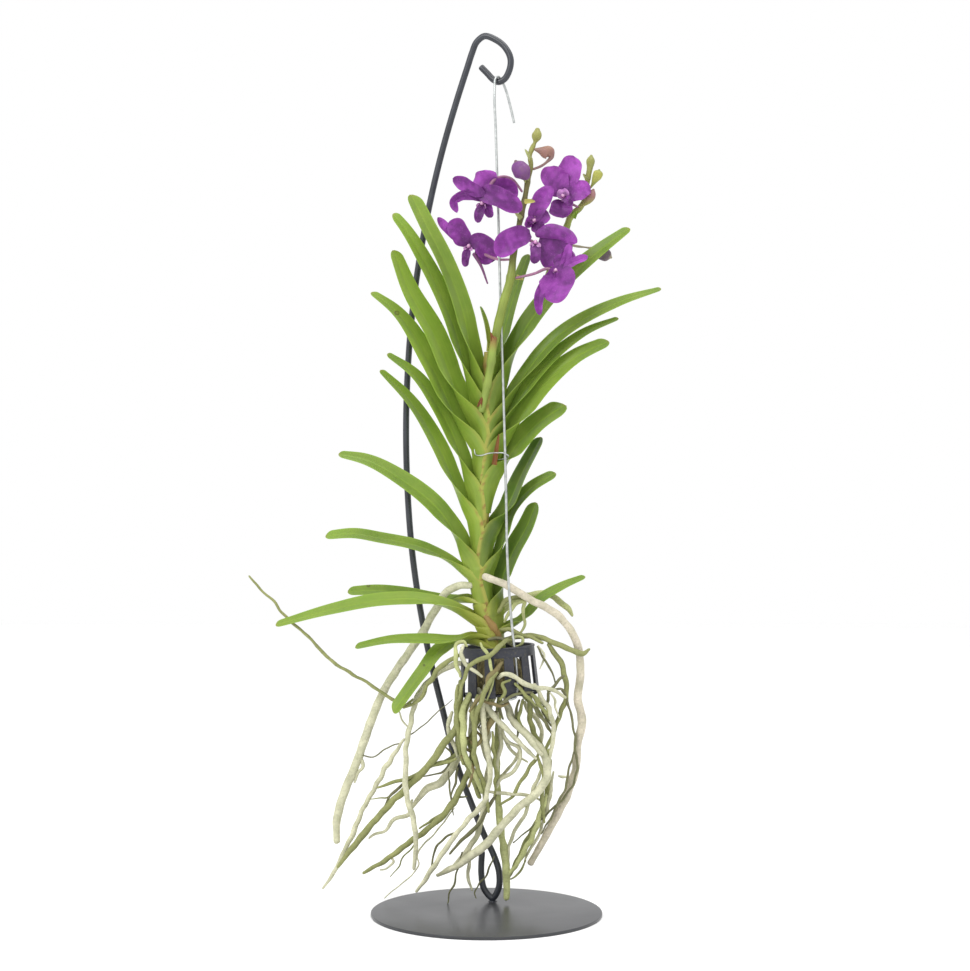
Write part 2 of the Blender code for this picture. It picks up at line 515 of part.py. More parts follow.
def add_basket(collection, cutters):
    """A turned cup with an open floor. Slots run down its wall and in along its floor."""
    inner_rim = BASKET_RIM_RADIUS - BASKET_WALL
    inner_foot = BASKET_FOOT_RADIUS - BASKET_WALL
    profile = [
        (BASKET_RIM_RADIUS, BASKET_HEIGHT), (BASKET_FOOT_RADIUS, 0.0), (BASKET_HOLE_RADIUS, 0.0),
        (BASKET_HOLE_RADIUS, BASKET_FLOOR), (inner_foot, BASKET_FLOOR), (inner_rim, BASKET_HEIGHT),
    ]
    basket = turned("basket", profile, 48, collection, BASKET_BLACK)
    slot_height = BASKET_HEIGHT - BASKET_BAND_HEIGHT + 3.0
    slot_reach = BASKET_FOOT_RADIUS + 4.0 - BASKET_SLOT_INNER_RADIUS
    box = bmesh.new()
    for i in range(BASKET_SLOTS):
        angle = BASKET_FIRST_SLOT + i * 2 * math.pi / BASKET_SLOTS
        made = bmesh.ops.create_cube(box, size=1.0)["verts"]
        bmesh.ops.scale(box, verts=made, vec=(
            BASKET_SLOT_WIDTH * MM, slot_reach * MM, slot_height * MM))
        bmesh.ops.translate(box, verts=made, vec=(
            0, -(BASKET_SLOT_INNER_RADIUS + 0.5 * slot_reach) * MM, (0.5 * slot_height - 3.0) * MM))
        for corner in made:
            x, y = corner.co.x, corner.co.y
            corner.co.x = x * math.cos(angle) - y * math.sin(angle)
            corner.co.y = x * math.sin(angle) + y * math.cos(angle)
    mesh = bpy.data.meshes.new("basket_slots")
    box.to_mesh(mesh)
    box.free()
    slots = link(bpy.data.objects.new("basket_slots", mesh), cutters)
    slots.parent = basket
    cut = basket.modifiers.new("slots", "BOOLEAN")
    cut.operation = "DIFFERENCE"
    cut.object = slots
    basket.location = metres(BASKET_PLACE)
    basket.rotation_euler = (0, BASKET_TILT, 0)


def add_root_crown(collection):
    """The knot of old roots inside the basket. It sits on the floor's inner ring."""
    shelf = BASKET_FLOOR + GAP
    profile = [
        (0, 39.6), (13, 39.6), (21, 35), (25.5, 28), (27, 20), (26.4, 10), (24, shelf),
        (17.4, shelf), (16.4, 0.4), (0, 0.4),
    ]
    crown = turned("root_crown", profile, 18, collection, ROOT_BROWN)
    crown.location = metres(BASKET_PLACE)
    crown.rotation_euler = (0, BASKET_TILT, 0)


def petal_share(u):
    """Half width of a petal along its length: a narrow claw, a broad blade, a round tip."""
    return math.sin(math.pi * (0.1 + 0.84 * u)) ** 0.85


def add_petal(name, heart, look, tip, width, bulge, cup, cutters):
    """A cupped blade from the flower's heart to the petal's tip."""
    start = Vector(heart)
    along = Vector(tip) - start
    look = Vector(look)
    face = (look - along * look.dot(along) / along.length_squared).normalized()
    across = along.cross(face).normalized()
    rows = []
    for i in range(6):
        u = 0.05 + 0.95 * i / 5
        half = 0.5 * width * petal_share(u)
        middle = start + along * u + face * (bulge * 4 * u * (1 - u))
        row = []
        for v in (-1, 0, 1):
            row.append((middle + across * (half * v) + face * (cup * v * v * u)) * MM)
        rows.append(row)
    return grid_object(name, rows, cutters, None, PETAL_THICKNESS)


def add_flower(name, heart, look, stalk, petals, collection):
    """A flower grown as one piece: heart, stalk and petals joined."""
    parts = bpy.data.collections.new("petals_of_" + name)
    bpy.context.scene.collection.children.link(parts)
    for i, (tip, width, bulge, cup) in enumerate(petals):
        add_petal("%s_petal_%d" % (name, i + 1), heart, look, tip, width, bulge, cup, parts)
    as_mesh(add_tube(name + "_stem", stalk, 1.0, None, parts, steps=1))
    bpy.ops.mesh.primitive_ico_sphere_add(subdivisions=2, radius=HEART_RADIUS * MM,
                                          location=metres(heart))
    core = bpy.context.object
    core.name = name
    for holder in list(core.users_collection):
        holder.objects.unlink(core)
    link(core, collection, PETAL_PURPLE)
    for piece in parts.objects:
        join = core.modifiers.new("join", "BOOLEAN")
        join.operation = "UNION"
        join.object = piece
        hide_guide(piece)


def hide_guide(obj):
    obj.hide_render = True
    obj.display_type = "WIRE"


def stalk_finish(name):
    if name in ("bud_purple", "bud_pink"):
        return BUD_PINK
    if name.startswith("bud"):
        return BUD_OLIVE
    return STALK_OLIVE


def build():
    clear_scene()
    plant = bpy.data.collections.new("vanda_orchid")
    cutters = bpy.data.collections.new("cutters")
    bpy.context.scene.collection.children.link(plant)
    bpy.context.scene.collection.children.link(cutters)

    add_plate(plant)
    add_rod(plant)
    add_tube("hanger_wire", WIRE_ROUTE, 0.5 * WIRE_DIAMETER, WIRE_GREY, plant, steps=2)
    add_tube("stem_tie", TIE_ROUTE, 0.5 * TIE_DIAMETER, WIRE_GREY, plant, steps=2)
    add_basket(plant, cutters)
    add_root_crown(plant)

    add_tube("stem", STEM_ROUTE, 1.0, STEM_GREEN, plant, steps=2, resolution=4)
    add_leaves(plant)
    for name, route in STALKS.items():
        add_tube(name, route, 1.0, stalk_finish(name), plant, steps=2)
    for name, (heart, look, stalk, petals) in FLOWERS.items():
        add_flower(name, heart, look, stalk, petals, plant)
    for name, route in ROOTS.items():
        finish = ROOT_OLIVE if name in OLIVE_ROOTS else ROOT_CREAM
        add_tube(name, route, 1.0, finish, plant, steps=2)
    for cutter in cutters.objects:
        hide_guide(cutter)


build()
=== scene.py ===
"""The looks of a vanda orchid that hangs in a slatted basket from a bent steel stand.

The file follows the object as it is put together: stand, wire, basket, root knot, stem, leaves,
stalks, buds, flowers and roots. Lengths are millimetres until a mesh is made.
"""
import math

import bpy
import numpy as np
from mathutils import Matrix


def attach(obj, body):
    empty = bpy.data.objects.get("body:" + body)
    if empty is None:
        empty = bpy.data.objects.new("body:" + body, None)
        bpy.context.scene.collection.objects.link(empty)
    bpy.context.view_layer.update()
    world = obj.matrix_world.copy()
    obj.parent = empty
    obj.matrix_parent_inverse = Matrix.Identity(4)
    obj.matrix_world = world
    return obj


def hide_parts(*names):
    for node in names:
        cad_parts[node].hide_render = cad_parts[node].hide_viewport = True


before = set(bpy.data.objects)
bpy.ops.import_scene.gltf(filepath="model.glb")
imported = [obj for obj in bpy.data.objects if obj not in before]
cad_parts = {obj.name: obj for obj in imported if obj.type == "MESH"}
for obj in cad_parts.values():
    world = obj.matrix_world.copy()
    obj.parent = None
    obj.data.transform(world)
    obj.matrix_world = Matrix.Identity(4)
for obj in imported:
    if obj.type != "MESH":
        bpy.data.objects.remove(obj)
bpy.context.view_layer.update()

# The studio is a very pale floor under a white surround, with large soft lamps above and to
# the left. The camera stands level, 1.9 m in front of the plate, as in the photograph.
MM = 0.001
CAMERA_X = -1.43
CAMERA_HEIGHT = 408.0
CAMERA_DISTANCE = 1890.0
VIEW_WIDTH_AT_PLATE = 923.4
SENSOR_WIDTH = 36.0
# The floor's width, in metres, and its colour.
FLOOR_SIZE = 8.0
FLOOR_WHITE = (0.97, 0.97, 0.97, 1)

camera_data = bpy.data.cameras.new("camera")
camera_data.sensor_fit = "HORIZONTAL"
camera_data.sensor_width = SENSOR_WIDTH
camera_data.lens = SENSOR_WIDTH * CAMERA_DISTANCE / VIEW_WIDTH_AT_PLATE
camera = bpy.data.objects.new("camera", camera_data)
camera.location = (CAMERA_X * MM, -CAMERA_DISTANCE * MM, CAMERA_HEIGHT * MM)
camera.rotation_euler = (math.radians(90), 0, 0)
bpy.context.scene.collection.objects.link(camera)
bpy.context.scene.camera = camera
bpy.context.scene.view_settings.view_transform = "Standard"

world = bpy.data.worlds.new("white_surround")
world.use_nodes = True
surround = world.node_tree.nodes["Background"]
surround.inputs["Color"].default_value = (1.0, 1.0, 1.0, 1.0)
surround.inputs["Strength"].default_value = 1.0
bpy.context.scene.world = world


def add_lamp(name, place, aim, size, watts):
    """A square soft lamp at a place in metres, turned to face a point."""
    data = bpy.data.lights.new(name, "AREA")
    data.shape = "SQUARE"
    data.size = size
    data.energy = watts
    lamp = bpy.data.objects.new(name, data)
    heading = np.array(aim) - np.array(place)
    flat = math.hypot(heading[0], heading[1])
    lamp.location = place
    lamp.rotation_euler = (
        math.atan2(flat, -heading[2]), 0, math.atan2(heading[1], heading[0]) - math.pi / 2)
    bpy.context.scene.collection.objects.link(lamp)


LAMP_AIM = (0, 0, 0.4)
# Each lamp: its place in metres, its size in metres and its power in watts.
LAMPS = {"lamp_left": ((-1.3, -1.5, 1.9), 1.0, 22), "lamp_top": ((0.4, -0.2, 2.2), 1.2, 14)}
for lamp_name, (lamp_place, lamp_size, lamp_watts) in LAMPS.items():
    add_lamp(lamp_name, lamp_place, LAMP_AIM, lamp_size, lamp_watts)

floor_mesh = bpy.data.meshes.new("floor")
floor_edge = FLOOR_SIZE / 2
floor_mesh.from_pydata(
    [(-floor_edge, -floor_edge, 0), (floor_edge, -floor_edge, 0),
     (floor_edge, floor_edge, 0), (-floor_edge, floor_edge, 0)], [], [(0, 1, 2, 3)])
floor = bpy.data.objects.new("floor", floor_mesh)
bpy.context.scene.collection.objects.link(floor)
floor_paint = bpy.data.materials.new("floor_white")
floor_paint.use_nodes = True
floor_shader = floor_paint.node_tree.nodes["Principled BSDF"]
floor_shader.inputs["Base Color"].default_value = FLOOR_WHITE
floor_shader.inputs["Roughness"].default_value = 0.9
floor_shader.inputs["Specular IOR Level"].default_value = 0.1
floor_mesh.materials.append(floor_paint)


# The base plate is a laser-cut steel disc with a broken edge, powder coated in satin grey. It
# lies flat on the floor and carries the rod.
PLATE_RADIUS = 110.0
PLATE_THICKNESS = 3.0
PLATE_EDGE = 0.7
PLATE_SIDES = 160
PLATE_INNER_RING = 55.0
PLATE_MIDDLE_RING = 1.0


def paint(red, green, blue):
    """The linear colour of a display colour given from 0 to 255."""
    shares = np.array([red, green, blue]) / 255.0
    return np.where(shares > 0.04045, ((shares + 0.055) / 1.055) ** 2.4, shares / 12.92)


# A scar shows on both faces of a leaf, so it reaches far in Y.
SCAR_STRETCH = (1.0, 0.15, 1.0)
SCAR_TINT = paint(78, 66, 34)
SCAR_RING = [(0.0, 0.45), (0.5, 0.3), (0.75, 0.95), (1.0, 0.0)]
BLACK = (0, 0, 0)


class Finish:
    """A material under construction: its nodes, and short calls that add one node each."""

    def __init__(self, name, roughness, metallic=0.0):
        self.material = bpy.data.materials.new(name)
        self.material.use_nodes = True
        self.tree = self.material.node_tree
        self.shader = self.tree.nodes["Principled BSDF"]
        self.put(self.shader, {"Roughness": roughness, "Metallic": metallic})
        self.place = self.node("TexCoord", {}, "Object")

    def put(self, node, inputs):
        """Fill a node's inputs, each with a socket to link, a value or a colour."""
        for name, value in inputs.items():
            socket = node.inputs[name]
            if isinstance(value, bpy.types.NodeSocket):
                self.tree.links.new(value, socket)
            else:
                socket.default_value = (*value, 1.0) if socket.type == "RGBA" else value

    def node(self, kind, inputs, output, **settings):
        """The output of a new node with these inputs and settings."""
        node = self.tree.nodes.new("ShaderNode" + kind)
        for name, value in settings.items():
            setattr(node, name, value)
        self.put(node, inputs)
        return node.outputs[output]

    def stretched(self, source, scale):
        """The coordinates times a scale on each axis."""
        return self.node("Mapping", {"Vector": source, "Scale": scale}, "Vector")

    def surface(self):
        """The piece's own map: along it, and across or round it."""
        return self.node("UVMap", {}, "UV", uv_map="surface")

    def tint(self):
        """The colour that the piece's points carry."""
        return self.node("Attribute", {}, "Color", attribute_name="tint")

    def noise(self, scale, detail=3.0, rough=0.55, distortion=0.0, source=None):
        """A cloudy pattern over the piece's place or over other coordinates."""
        source = self.place if source is None else source
        return self.node("TexNoise", {"Vector": source, "Scale": scale, "Detail": detail,
                                      "Roughness": rough, "Distortion": distortion}, "Fac")

    def cells(self, scale, feature="F1"):
        """Distance pattern of scattered cells."""
        return self.node("TexVoronoi", {"Vector": self.place, "Scale": scale}, "Distance",
                         feature=feature)

    def ramp(self, factor, stops):
        """Colours or greys blended between positions from 0 to 1."""
        output = self.node("ValToRGB", {"Fac": factor}, "Color")
        band = output.node.color_ramp
        for number, (position, colour) in enumerate(stops):
            stop = band.elements[number] if number < 2 else band.elements.new(position)
            stop.position = position
            stop.color = (*np.broadcast_to(colour, 3), 1.0)
        return output

    def mix(self, factor, first, second, kind="MIX"):
        """Two colours mixed by a factor. A colour may be a socket or three numbers."""
        return self.node("Mix", {0: factor, 6: first, 7: second}, 2, data_type="RGBA",
                         blend_type=kind)

    def layered(self, base, *layers):
        """A base colour with layers over it: each a pattern, its ramp's stops and a colour."""
        for pattern, stops, colour in layers:
            base = self.mix(self.ramp(pattern, stops), base, colour)
        return base

    def scar(self, base, middle, radius):
        """The base colour with a round brown scar about a point, darkest along its rim."""
        centre = [value * weight * MM for value, weight in zip(middle, SCAR_STRETCH)]
        apart = self.node("VectorMath", {0: self.stretched(self.place, SCAR_STRETCH), 1: centre},
                          "Value", operation="DISTANCE")
        share = self.node("Math", {0: apart, 1: radius * MM}, "Value", operation="DIVIDE")
        return self.mix(self.ramp(share, SCAR_RING), base, SCAR_TINT)

    def colour(self, source):
        """Give the shader its base colour."""
        self.put(self.shader, {"Base Color": source})

    def roughness(self, factor, low, high):
        """Roughness that runs from low to high with a pattern."""
        self.put(self.shader, {"Roughness": self.ramp(factor, [(0.25, low), (0.75, high)])})

    def bump(self, height, depth, strength=1.0):
        """Relief of a depth in millimetres."""
        normal = self.node("Bump", {"Distance": depth * MM, "Strength": strength,
                                    "Height": height}, "Normal")
        self.put(self.shader, {"Normal": normal})


def coated(name, metallic, cloud, dark, light, light_at, gloss, grain):
    """A coat from dark to light in soft clouds, with its span of roughness and a fine grain.

    The cloud is a noise scale and detail, and the grain a noise scale, a depth and a strength.
    """
    finish = Finish(name, gloss[0], metallic)
    clouds = finish.noise(*cloud)
    finish.colour(finish.ramp(clouds, [(0.3, paint(*dark)), (light_at, paint(*light))]))
    finish.roughness(clouds, *gloss)
    finish.bump(finish.noise(grain[0], 2), *grain[1:])
    return finish


# The corners of a side face: steps along the rings and round them.
FACE_STEPS = ((0, 0), (0, 1), (1, 1), (1, 0))
SHARP_ANGLE = math.radians(40)


def closed_skin(rings, tint=(1.0, 1.0, 1.0)):
    """A closed skin over rings of points: side faces between neighbours, a flat face at each end.

    The map runs from 0 to 1 along the rings and from 0 to 1 round each ring.
    """
    count, sides, _ = rings.shape
    row, column = np.divmod(np.arange((count - 1) * sides), sides)
    quads = np.stack([(row + a) * sides + (column + b) % sides for a, b in FACE_STEPS], axis=-1)
    spread = np.stack([np.stack([(row + a) / (count - 1), (column + b) / sides], axis=-1)
                       for a, b in FACE_STEPS], axis=1)
    points = rings.reshape(-1, 3)
    corner = (points - points.mean(axis=0))[quads]
    facing = np.cross(corner[:, 2] - corner[:, 0], corner[:, 3] - corner[:, 1])
    ends = [np.arange(sides)[::-1], np.arange(sides) + (count - 1) * sides]
    if (corner.mean(axis=1) * facing).sum() < 0:
        quads, spread = quads[:, ::-1], spread[:, ::-1]
        ends = [end[::-1] for end in ends]
    tint = np.broadcast_to(np.asarray(tint, float), (count, sides, 3)).reshape(-1, 3)
    return {"points": points, "tint": tint, "quads": quads, "spread": spread, "ends": ends}


def add_piece(name, skins, finish, slot, *nodes):
    """One mesh object of closed skins, in metres, that stands for the named frame nodes."""
    starts = np.cumsum([0] + [len(skin["points"]) for skin in skins])
    points = np.concatenate([skin["points"] for skin in skins]) * MM
    tints = np.concatenate([skin["tint"] for skin in skins])
    quads = np.concatenate([skin["quads"] + start for skin, start in zip(skins, starts)])
    ends = [(end + start).tolist() for skin, start in zip(skins, starts) for end in skin["ends"]]
    mesh = bpy.data.meshes.new(name)
    mesh.from_pydata(points, [], quads.tolist() + ends, shade_flat=False)
    spread = np.full((len(mesh.loops), 2), 0.5)
    spread[:quads.size] = np.concatenate([skin["spread"] for skin in skins]).reshape(-1, 2)
    mesh.uv_layers.new(name="surface").data.foreach_set("uv", spread.ravel())
    layer = mesh.color_attributes.new("tint", "FLOAT_COLOR", "POINT")
    layer.data.foreach_set("color", np.hstack([tints, np.ones((len(tints), 1))]).ravel())
    mesh.set_sharp_from_angle(angle=SHARP_ANGLE)
    mesh.materials.append(finish.material)
    piece = bpy.data.objects.new(name, mesh)
    bpy.context.scene.collection.objects.link(piece)
    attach(piece, "root")
    if nodes:
        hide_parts(*nodes)


def turned_rings(profile, sides):
    """Circles of each profile radius at each profile height, about Z."""
    profile = np.array(profile, float)
    angle = np.linspace(0, 2 * np.pi, sides, endpoint=False)
    radius = profile[:, :1]
    return np.stack([radius * np.cos(angle), radius * np.sin(angle),
                     profile[:, 1:] + 0 * angle], axis=-1)


edge_turn = np.linspace(0, np.pi / 2, 5)
upper_edge = np.stack([PLATE_RADIUS - PLATE_EDGE * (1 - np.sin(edge_turn)),
                       PLATE_THICKNESS - PLATE_EDGE * (1 - np.cos(edge_turn))], axis=-1)
lower_edge = np.stack([upper_edge[::-1, 0], PLATE_THICKNESS - upper_edge[::-1, 1]], axis=-1)
plate_profile = np.vstack([
    [[PLATE_MIDDLE_RING, PLATE_THICKNESS], [PLATE_INNER_RING, PLATE_THICKNESS]],
    upper_edge, lower_edge, [[PLATE_INNER_RING, 0.0], [PLATE_MIDDLE_RING, 0.0]]])
plate_finish = coated("satin_grey_coat", 0.35, (14, 3), (58, 59, 62), (70, 71, 74), 0.7,
                      (0.28, 0.38), (700, 0.05, 0.5))
add_piece("plate", [closed_skin(turned_rings(plate_profile, PLATE_SIDES))], plate_finish,
          "plate", "base_plate")


# The stand is one 6.3 mm steel rod, bent to a hook, a long bow and a foot loop, and powder
# coated black. A short weld joins the loop to the plate.
ROD_RADIUS = 3.15
ROD_SIDES = 24
ROD_ROUTE = [
    (-5.5, 47, 816.5), (0.5, 45, 810), (7.5, 42.5, 802.5), (11.5, 41, 800.5), (17, 39, 802.5),
    (22, 37, 810.5), (23.5, 36.5, 821), (18.5, 38.5, 833), (8.5, 42, 842), (-2.5, 46, 846),
    (-9.5, 48.5, 841), (-14, 50.5, 831), (-18, 52, 819), (-29.5, 56, 784), (-46.5, 62, 725),
    (-62.5, 68, 652), (-72, 71.5, 590), (-78, 73.5, 517.5), (-79.5, 74, 463), (-78.5, 74, 413.5),
    (-72.5, 71.5, 334.5), (-59.5, 67, 255.5), (-42, 60.5, 183.5), (-30, 56, 138), (-13, 50, 93),
    (-0.5, 45.5, 63.5), (7, 42.5, 48.5), (12.5, 40.5, 30), (11.5, 41, 15.5), (6, 43, 6.6),
    (-1.5, 45.5, 13.5), (-5, 47, 29), (-5, 47, 39.5), (-4.2, 46.5, 51)]
WELD_AT = (6.0, 43.0, PLATE_THICKNESS + 0.02)
WELD_RADIUS = 3.6
WELD_HEIGHT = 1.7
WELD_LENGTH_SHARE = 1.15
# A direction across the bow's plane, so that the rod's rings don't twist.
ROD_UPRIGHT = (0.342, 0.94, 0)
BAR_END_SHARE = 0.86
# A grown end bulges by this share of its radius, and its first ring stands at this share of
# the quarter turn.
ROUND_END_BULGE = 0.8
ROUND_END_START = 0.12


def smooth(route, per_span=8):
    """A smooth curve through a route, radii included.

    Between two points it is the cubic that leaves and arrives with each point's slope. A slope
    weighs the two chords beside the point, and the shorter chord counts for more.
    """
    rows = np.array(route, float)
    chord = np.diff(rows, axis=0)
    span = np.linalg.norm(chord[:, :3], axis=1, keepdims=True)
    unit = chord / span
    slope = np.vstack([unit[:1], unit[:1], unit[1:]])[:len(rows)]
    slope[1:-1] = (unit[:-1] * span[1:] + unit[1:] * span[:-1]) / (span[:-1] + span[1:])
    slope[-1] = unit[-1]
    t = np.linspace(0, 1, per_span, endpoint=False)[None, :, None]
    ahead = t * t * (3 - 2 * t)
    length = span[:, None]
    curve = (rows[:-1, None] * (1 - ahead) + rows[1:, None] * ahead
             + slope[:-1, None] * length * t * (1 - t) ** 2
             - slope[1:, None] * length * t * t * (1 - t))
    return np.vstack([curve.reshape(-1, rows.shape[1]), rows[-1:]])


def unit_rows(rows):
    """Each row divided by its own length."""
    return rows / np.linalg.norm(rows, axis=-1, keepdims=True)


def tube_rings(path, radii, sides, upright=(0.0, 1.0, 0.0)):
    """Circles carried along a path: centre + radius * (cos a * side + sin a * up).

    side is at right angles to the heading and to upright, and up is square to both.
    """
    heading = unit_rows(np.gradient(path, axis=0))
    side = unit_rows(np.cross(heading, np.array(upright)))
    up = np.cross(side, heading)
    angle = np.linspace(0, 2 * np.pi, sides, endpoint=False)[None, :, None]
    radii = np.broadcast_to(np.asarray(radii, float), (len(path),))[:, None, None]
    return path[:, None] + radii * (np.cos(angle) * side[:, None] + np.sin(angle) * up[:, None])


def with_round_ends(path, radii, steps=4):
    """The path and radii with each end closed by a quarter circle of shrinking rings."""
    turn = np.linspace(ROUND_END_START, 1, steps, endpoint=False) * np.pi / 2
    first = (path[0] - path[1]) / np.linalg.norm(path[0] - path[1])
    last = (path[-1] - path[-2]) / np.linalg.norm(path[-1] - path[-2])
    head = path[0] + first * (radii[0] * ROUND_END_BULGE * np.cos(turn))[:, None]
    tail = path[-1] + last * (radii[-1] * ROUND_END_BULGE * np.cos(turn[::-1]))[:, None]
    return (np.vstack([head, path, tail]),
            np.concatenate([radii[0] * np.sin(turn), radii, radii[-1] * np.sin(turn[::-1])]))


def bar_skin(route, radius, sides, upright):
    """A bar of one thickness with slightly rounded ends, along a smooth route."""
    path = smooth(route)
    radii = np.full(len(path), radius)
    radii[[0, -1]] *= BAR_END_SHARE
    return closed_skin(tube_rings(path, radii, sides, upright))


rod_finish = coated("satin_black_coat", 0.0, (60, 3), (37, 40, 46), (50, 54, 62), 0.72,
                    (0.28, 0.42), (900, 0.06, 0.5))
rod_finish.put(rod_finish.shader, {"Specular IOR Level": 0.6})

weld_turn = np.linspace(0, 2 * np.pi, 28, endpoint=False)
weld_rise = np.linspace(0.02, 0.98, 9)[:, None]
weld_radius = WELD_RADIUS * np.sqrt(1 - weld_rise ** 2) * (
    1 + 0.08 * np.sin(4 * weld_turn + 1.0) + 0.05 * np.sin(7 * weld_turn))[None]
weld_rings = np.stack([
    WELD_AT[0] + WELD_LENGTH_SHARE * weld_radius * np.cos(weld_turn),
    WELD_AT[1] + weld_radius * np.sin(weld_turn),
    WELD_AT[2] + WELD_HEIGHT * weld_rise + 0 * weld_radius], axis=-1)
add_piece("rod", [bar_skin(ROD_ROUTE, ROD_RADIUS, ROD_SIDES, ROD_UPRIGHT),
                  closed_skin(weld_rings)], rod_finish, "rod",
          "stand_hook", "stand_rod_upper", "stand_rod_lower", "stand_foot")


# The hanger is one length of 2.5 mm galvanised wire, bent over the hook and down in front of
# the plant. Its foot runs down inside the basket. A thin tie wire holds the stem to it.
WIRE_RADIUS = 1.25
TIE_RADIUS = 0.65
WIRE_UPRIGHT = (0.4, 0.9, 0.1)
TIE_UPRIGHT = (0, 0, 1)
WIRE_ROUTE = [
    (27, 46, 761.5), (23, 46.5, 779), (18, 46.5, 796), (15, 45, 802.5), (11.5, 41, 805.4), (8.8, 37, 803),
    (8, 35.3, 793.5), (9, 34, 752.5), (11.5, 31, 669.5), (13.5, 27.5, 587), (16.5, 23.5, 490.5),
    (18.5, 20.5, 413.5), (20.5, 17, 327), (25.5, 13.6, 262), (28.5, 13.5, 235), (29, 13.6, 209),
    (28.2, 13.2, 205.2), (25.5, 12, 203.6), (21.5, 10.2, 203.4)]
TIE_ROUTE = [
    (-11.8, 37.5, 444), (-10.5, 34, 438), (-5.5, 29.6, 437), (2, 26.8, 439), (10, 21.5, 439.5),
    (17, 18.2, 439), (20.7, 18.8, 437), (20.6, 22.6, 435), (15, 27.5, 433.5), (10.8, 34, 433),
    (10.8, 41, 433), (8, 48, 433.5), (1, 51.4, 434), (-6, 50, 435), (-11, 45.5, 436.5), (-12.6, 41, 438)]

wire_finish = coated("galvanised_wire", 0.85, (220, 4), (168, 172, 172), (205, 208, 206), 0.7,
                     (0.26, 0.46), (1200, 0.03, 0.4))
add_piece("wire", [bar_skin(WIRE_ROUTE, WIRE_RADIUS, 16, WIRE_UPRIGHT)], wire_finish,
          "wire", "hanger_wire")
add_piece("tie", [bar_skin(TIE_ROUTE, TIE_RADIUS, 10, TIE_UPRIGHT)], wire_finish,
          "wire", "stem_tie")


# The basket is one moulding of dark grey plastic: a rim band, ribs that run down the wall and
# in along the floor, and an inner floor ring. The wire runs down inside its wall.
BASKET_HEIGHT = 47.6
BASKET_RIM_RADIUS = 35.5
BASKET_FOOT_RADIUS = 39.0
BASKET_WALL = 2.2
BASKET_FLOOR = 2.5
BASKET_HOLE_RADIUS = 19.0
BASKET_BAND_HEIGHT = 9.6
BASKET_RIBS = 12
BASKET_SLOT_WIDTH = 9.0
BASKET_FIRST_SLOT = math.radians(1.0)
BASKET_TILT = math.radians(-2.7)
BASKET_PLACE = np.array([13.0, 40.0, 204.7])
BASKET_CORNER = 2.6
BASKET_EDGE = 0.45
BASKET_RIB_REACH = 22.0
BASKET_RIB_OVERLAP = 1.5
BASKET_RING_RADIUS = 24.2
BASKET_LIP_OUT = 0.7
BASKET_LIP_UP = 0.3
BASKET_LIP_DOWN = 1.6


def in_basket(points):
    """Points about the basket's own axis, tilted about Y and moved to the basket's place."""
    x, y, z = points[..., 0], points[..., 1], points[..., 2]
    lean, stand = math.sin(BASKET_TILT), math.cos(BASKET_TILT)
    return np.stack([x * stand + z * lean, y, z * stand - x * lean], axis=-1) + BASKET_PLACE


def wall_radius(height):
    """Outer radius of the straight tapered wall at a height."""
    return BASKET_FOOT_RADIUS + (BASKET_RIM_RADIUS - BASKET_FOOT_RADIUS) * height / BASKET_HEIGHT


def turned_band(low, high, inner, outer):
    """A band turned about Z from a section with small rounded corners, closed as a loop.

    A radius is one number, or a pair for the band's low and high edge.
    """
    b = BASKET_EDGE
    inner_low, inner_high = np.broadcast_to(inner, 2)
    outer_low, outer_high = np.broadcast_to(outer, 2)
    section = np.array([
        (outer_low - b, low), (outer_low, low + b), (outer_high, high - b), (outer_high - b, high),
        (inner_high + b, high), (inner_high, high - b), (inner_low, low + b), (inner_low + b, low)])
    angle = np.linspace(0, 2 * np.pi, 97)[:, None]
    return np.stack([section[:, 0] * np.cos(angle), section[:, 0] * np.sin(angle),
                     section[:, 1] + 0 * angle], axis=-1)


def looped_skin(rings):
    """A closed skin over rings whose last ring is the first again: no end faces."""
    skin = closed_skin(rings)
    count, sides, _ = rings.shape
    keep = (count - 1) * sides
    skin["points"], skin["tint"] = skin["points"][:keep], skin["tint"][:keep]
    skin["quads"] = skin["quads"] % keep
    skin["ends"] = []
    return skin


def rib_rings(middle_angle):
    """A rib carried down the wall and in along the floor.

    The path runs in the plane of the axis: down the wall, round a corner and inwards. At each
    step a rounded rectangle spreads round the axis by the room between two parallel slots.
    """
    top = BASKET_HEIGHT - BASKET_BAND_HEIGHT + BASKET_RIB_OVERLAP
    drop = np.linspace(top, BASKET_CORNER, 10)
    turn = np.linspace(0, np.pi / 2, 6)[1:]
    inward = np.linspace(BASKET_FOOT_RADIUS - BASKET_CORNER, BASKET_RIB_REACH, 8)[1:]
    outer_r = np.concatenate([
        wall_radius(drop), BASKET_FOOT_RADIUS - BASKET_CORNER * (1 - np.cos(turn)), inward])
    outer_z = np.concatenate([drop, BASKET_CORNER * (1 - np.sin(turn)), 0 * inward])
    lean = np.concatenate([0 * drop, turn, np.full(len(inward), np.pi / 2)])
    wall = np.interp(lean, [0, np.pi / 2], [BASKET_WALL, BASKET_FLOOR])
    share = np.array([(-1, 0.18), (-0.93, 0), (0.93, 0), (1, 0.18), (1, 0.82), (0.93, 1),
                      (-0.93, 1), (-1, 0.82)])
    radius = outer_r[:, None] - wall[:, None] * np.cos(lean)[:, None] * share[None, :, 1]
    height = outer_z[:, None] + wall[:, None] * np.sin(lean)[:, None] * share[None, :, 1]
    half = radius * math.sin(math.pi / BASKET_RIBS) - 0.5 * BASKET_SLOT_WIDTH
    spread = middle_angle + share[None, :, 0] * half / radius
    return np.stack([radius * np.cos(spread), radius * np.sin(spread), height], axis=-1)


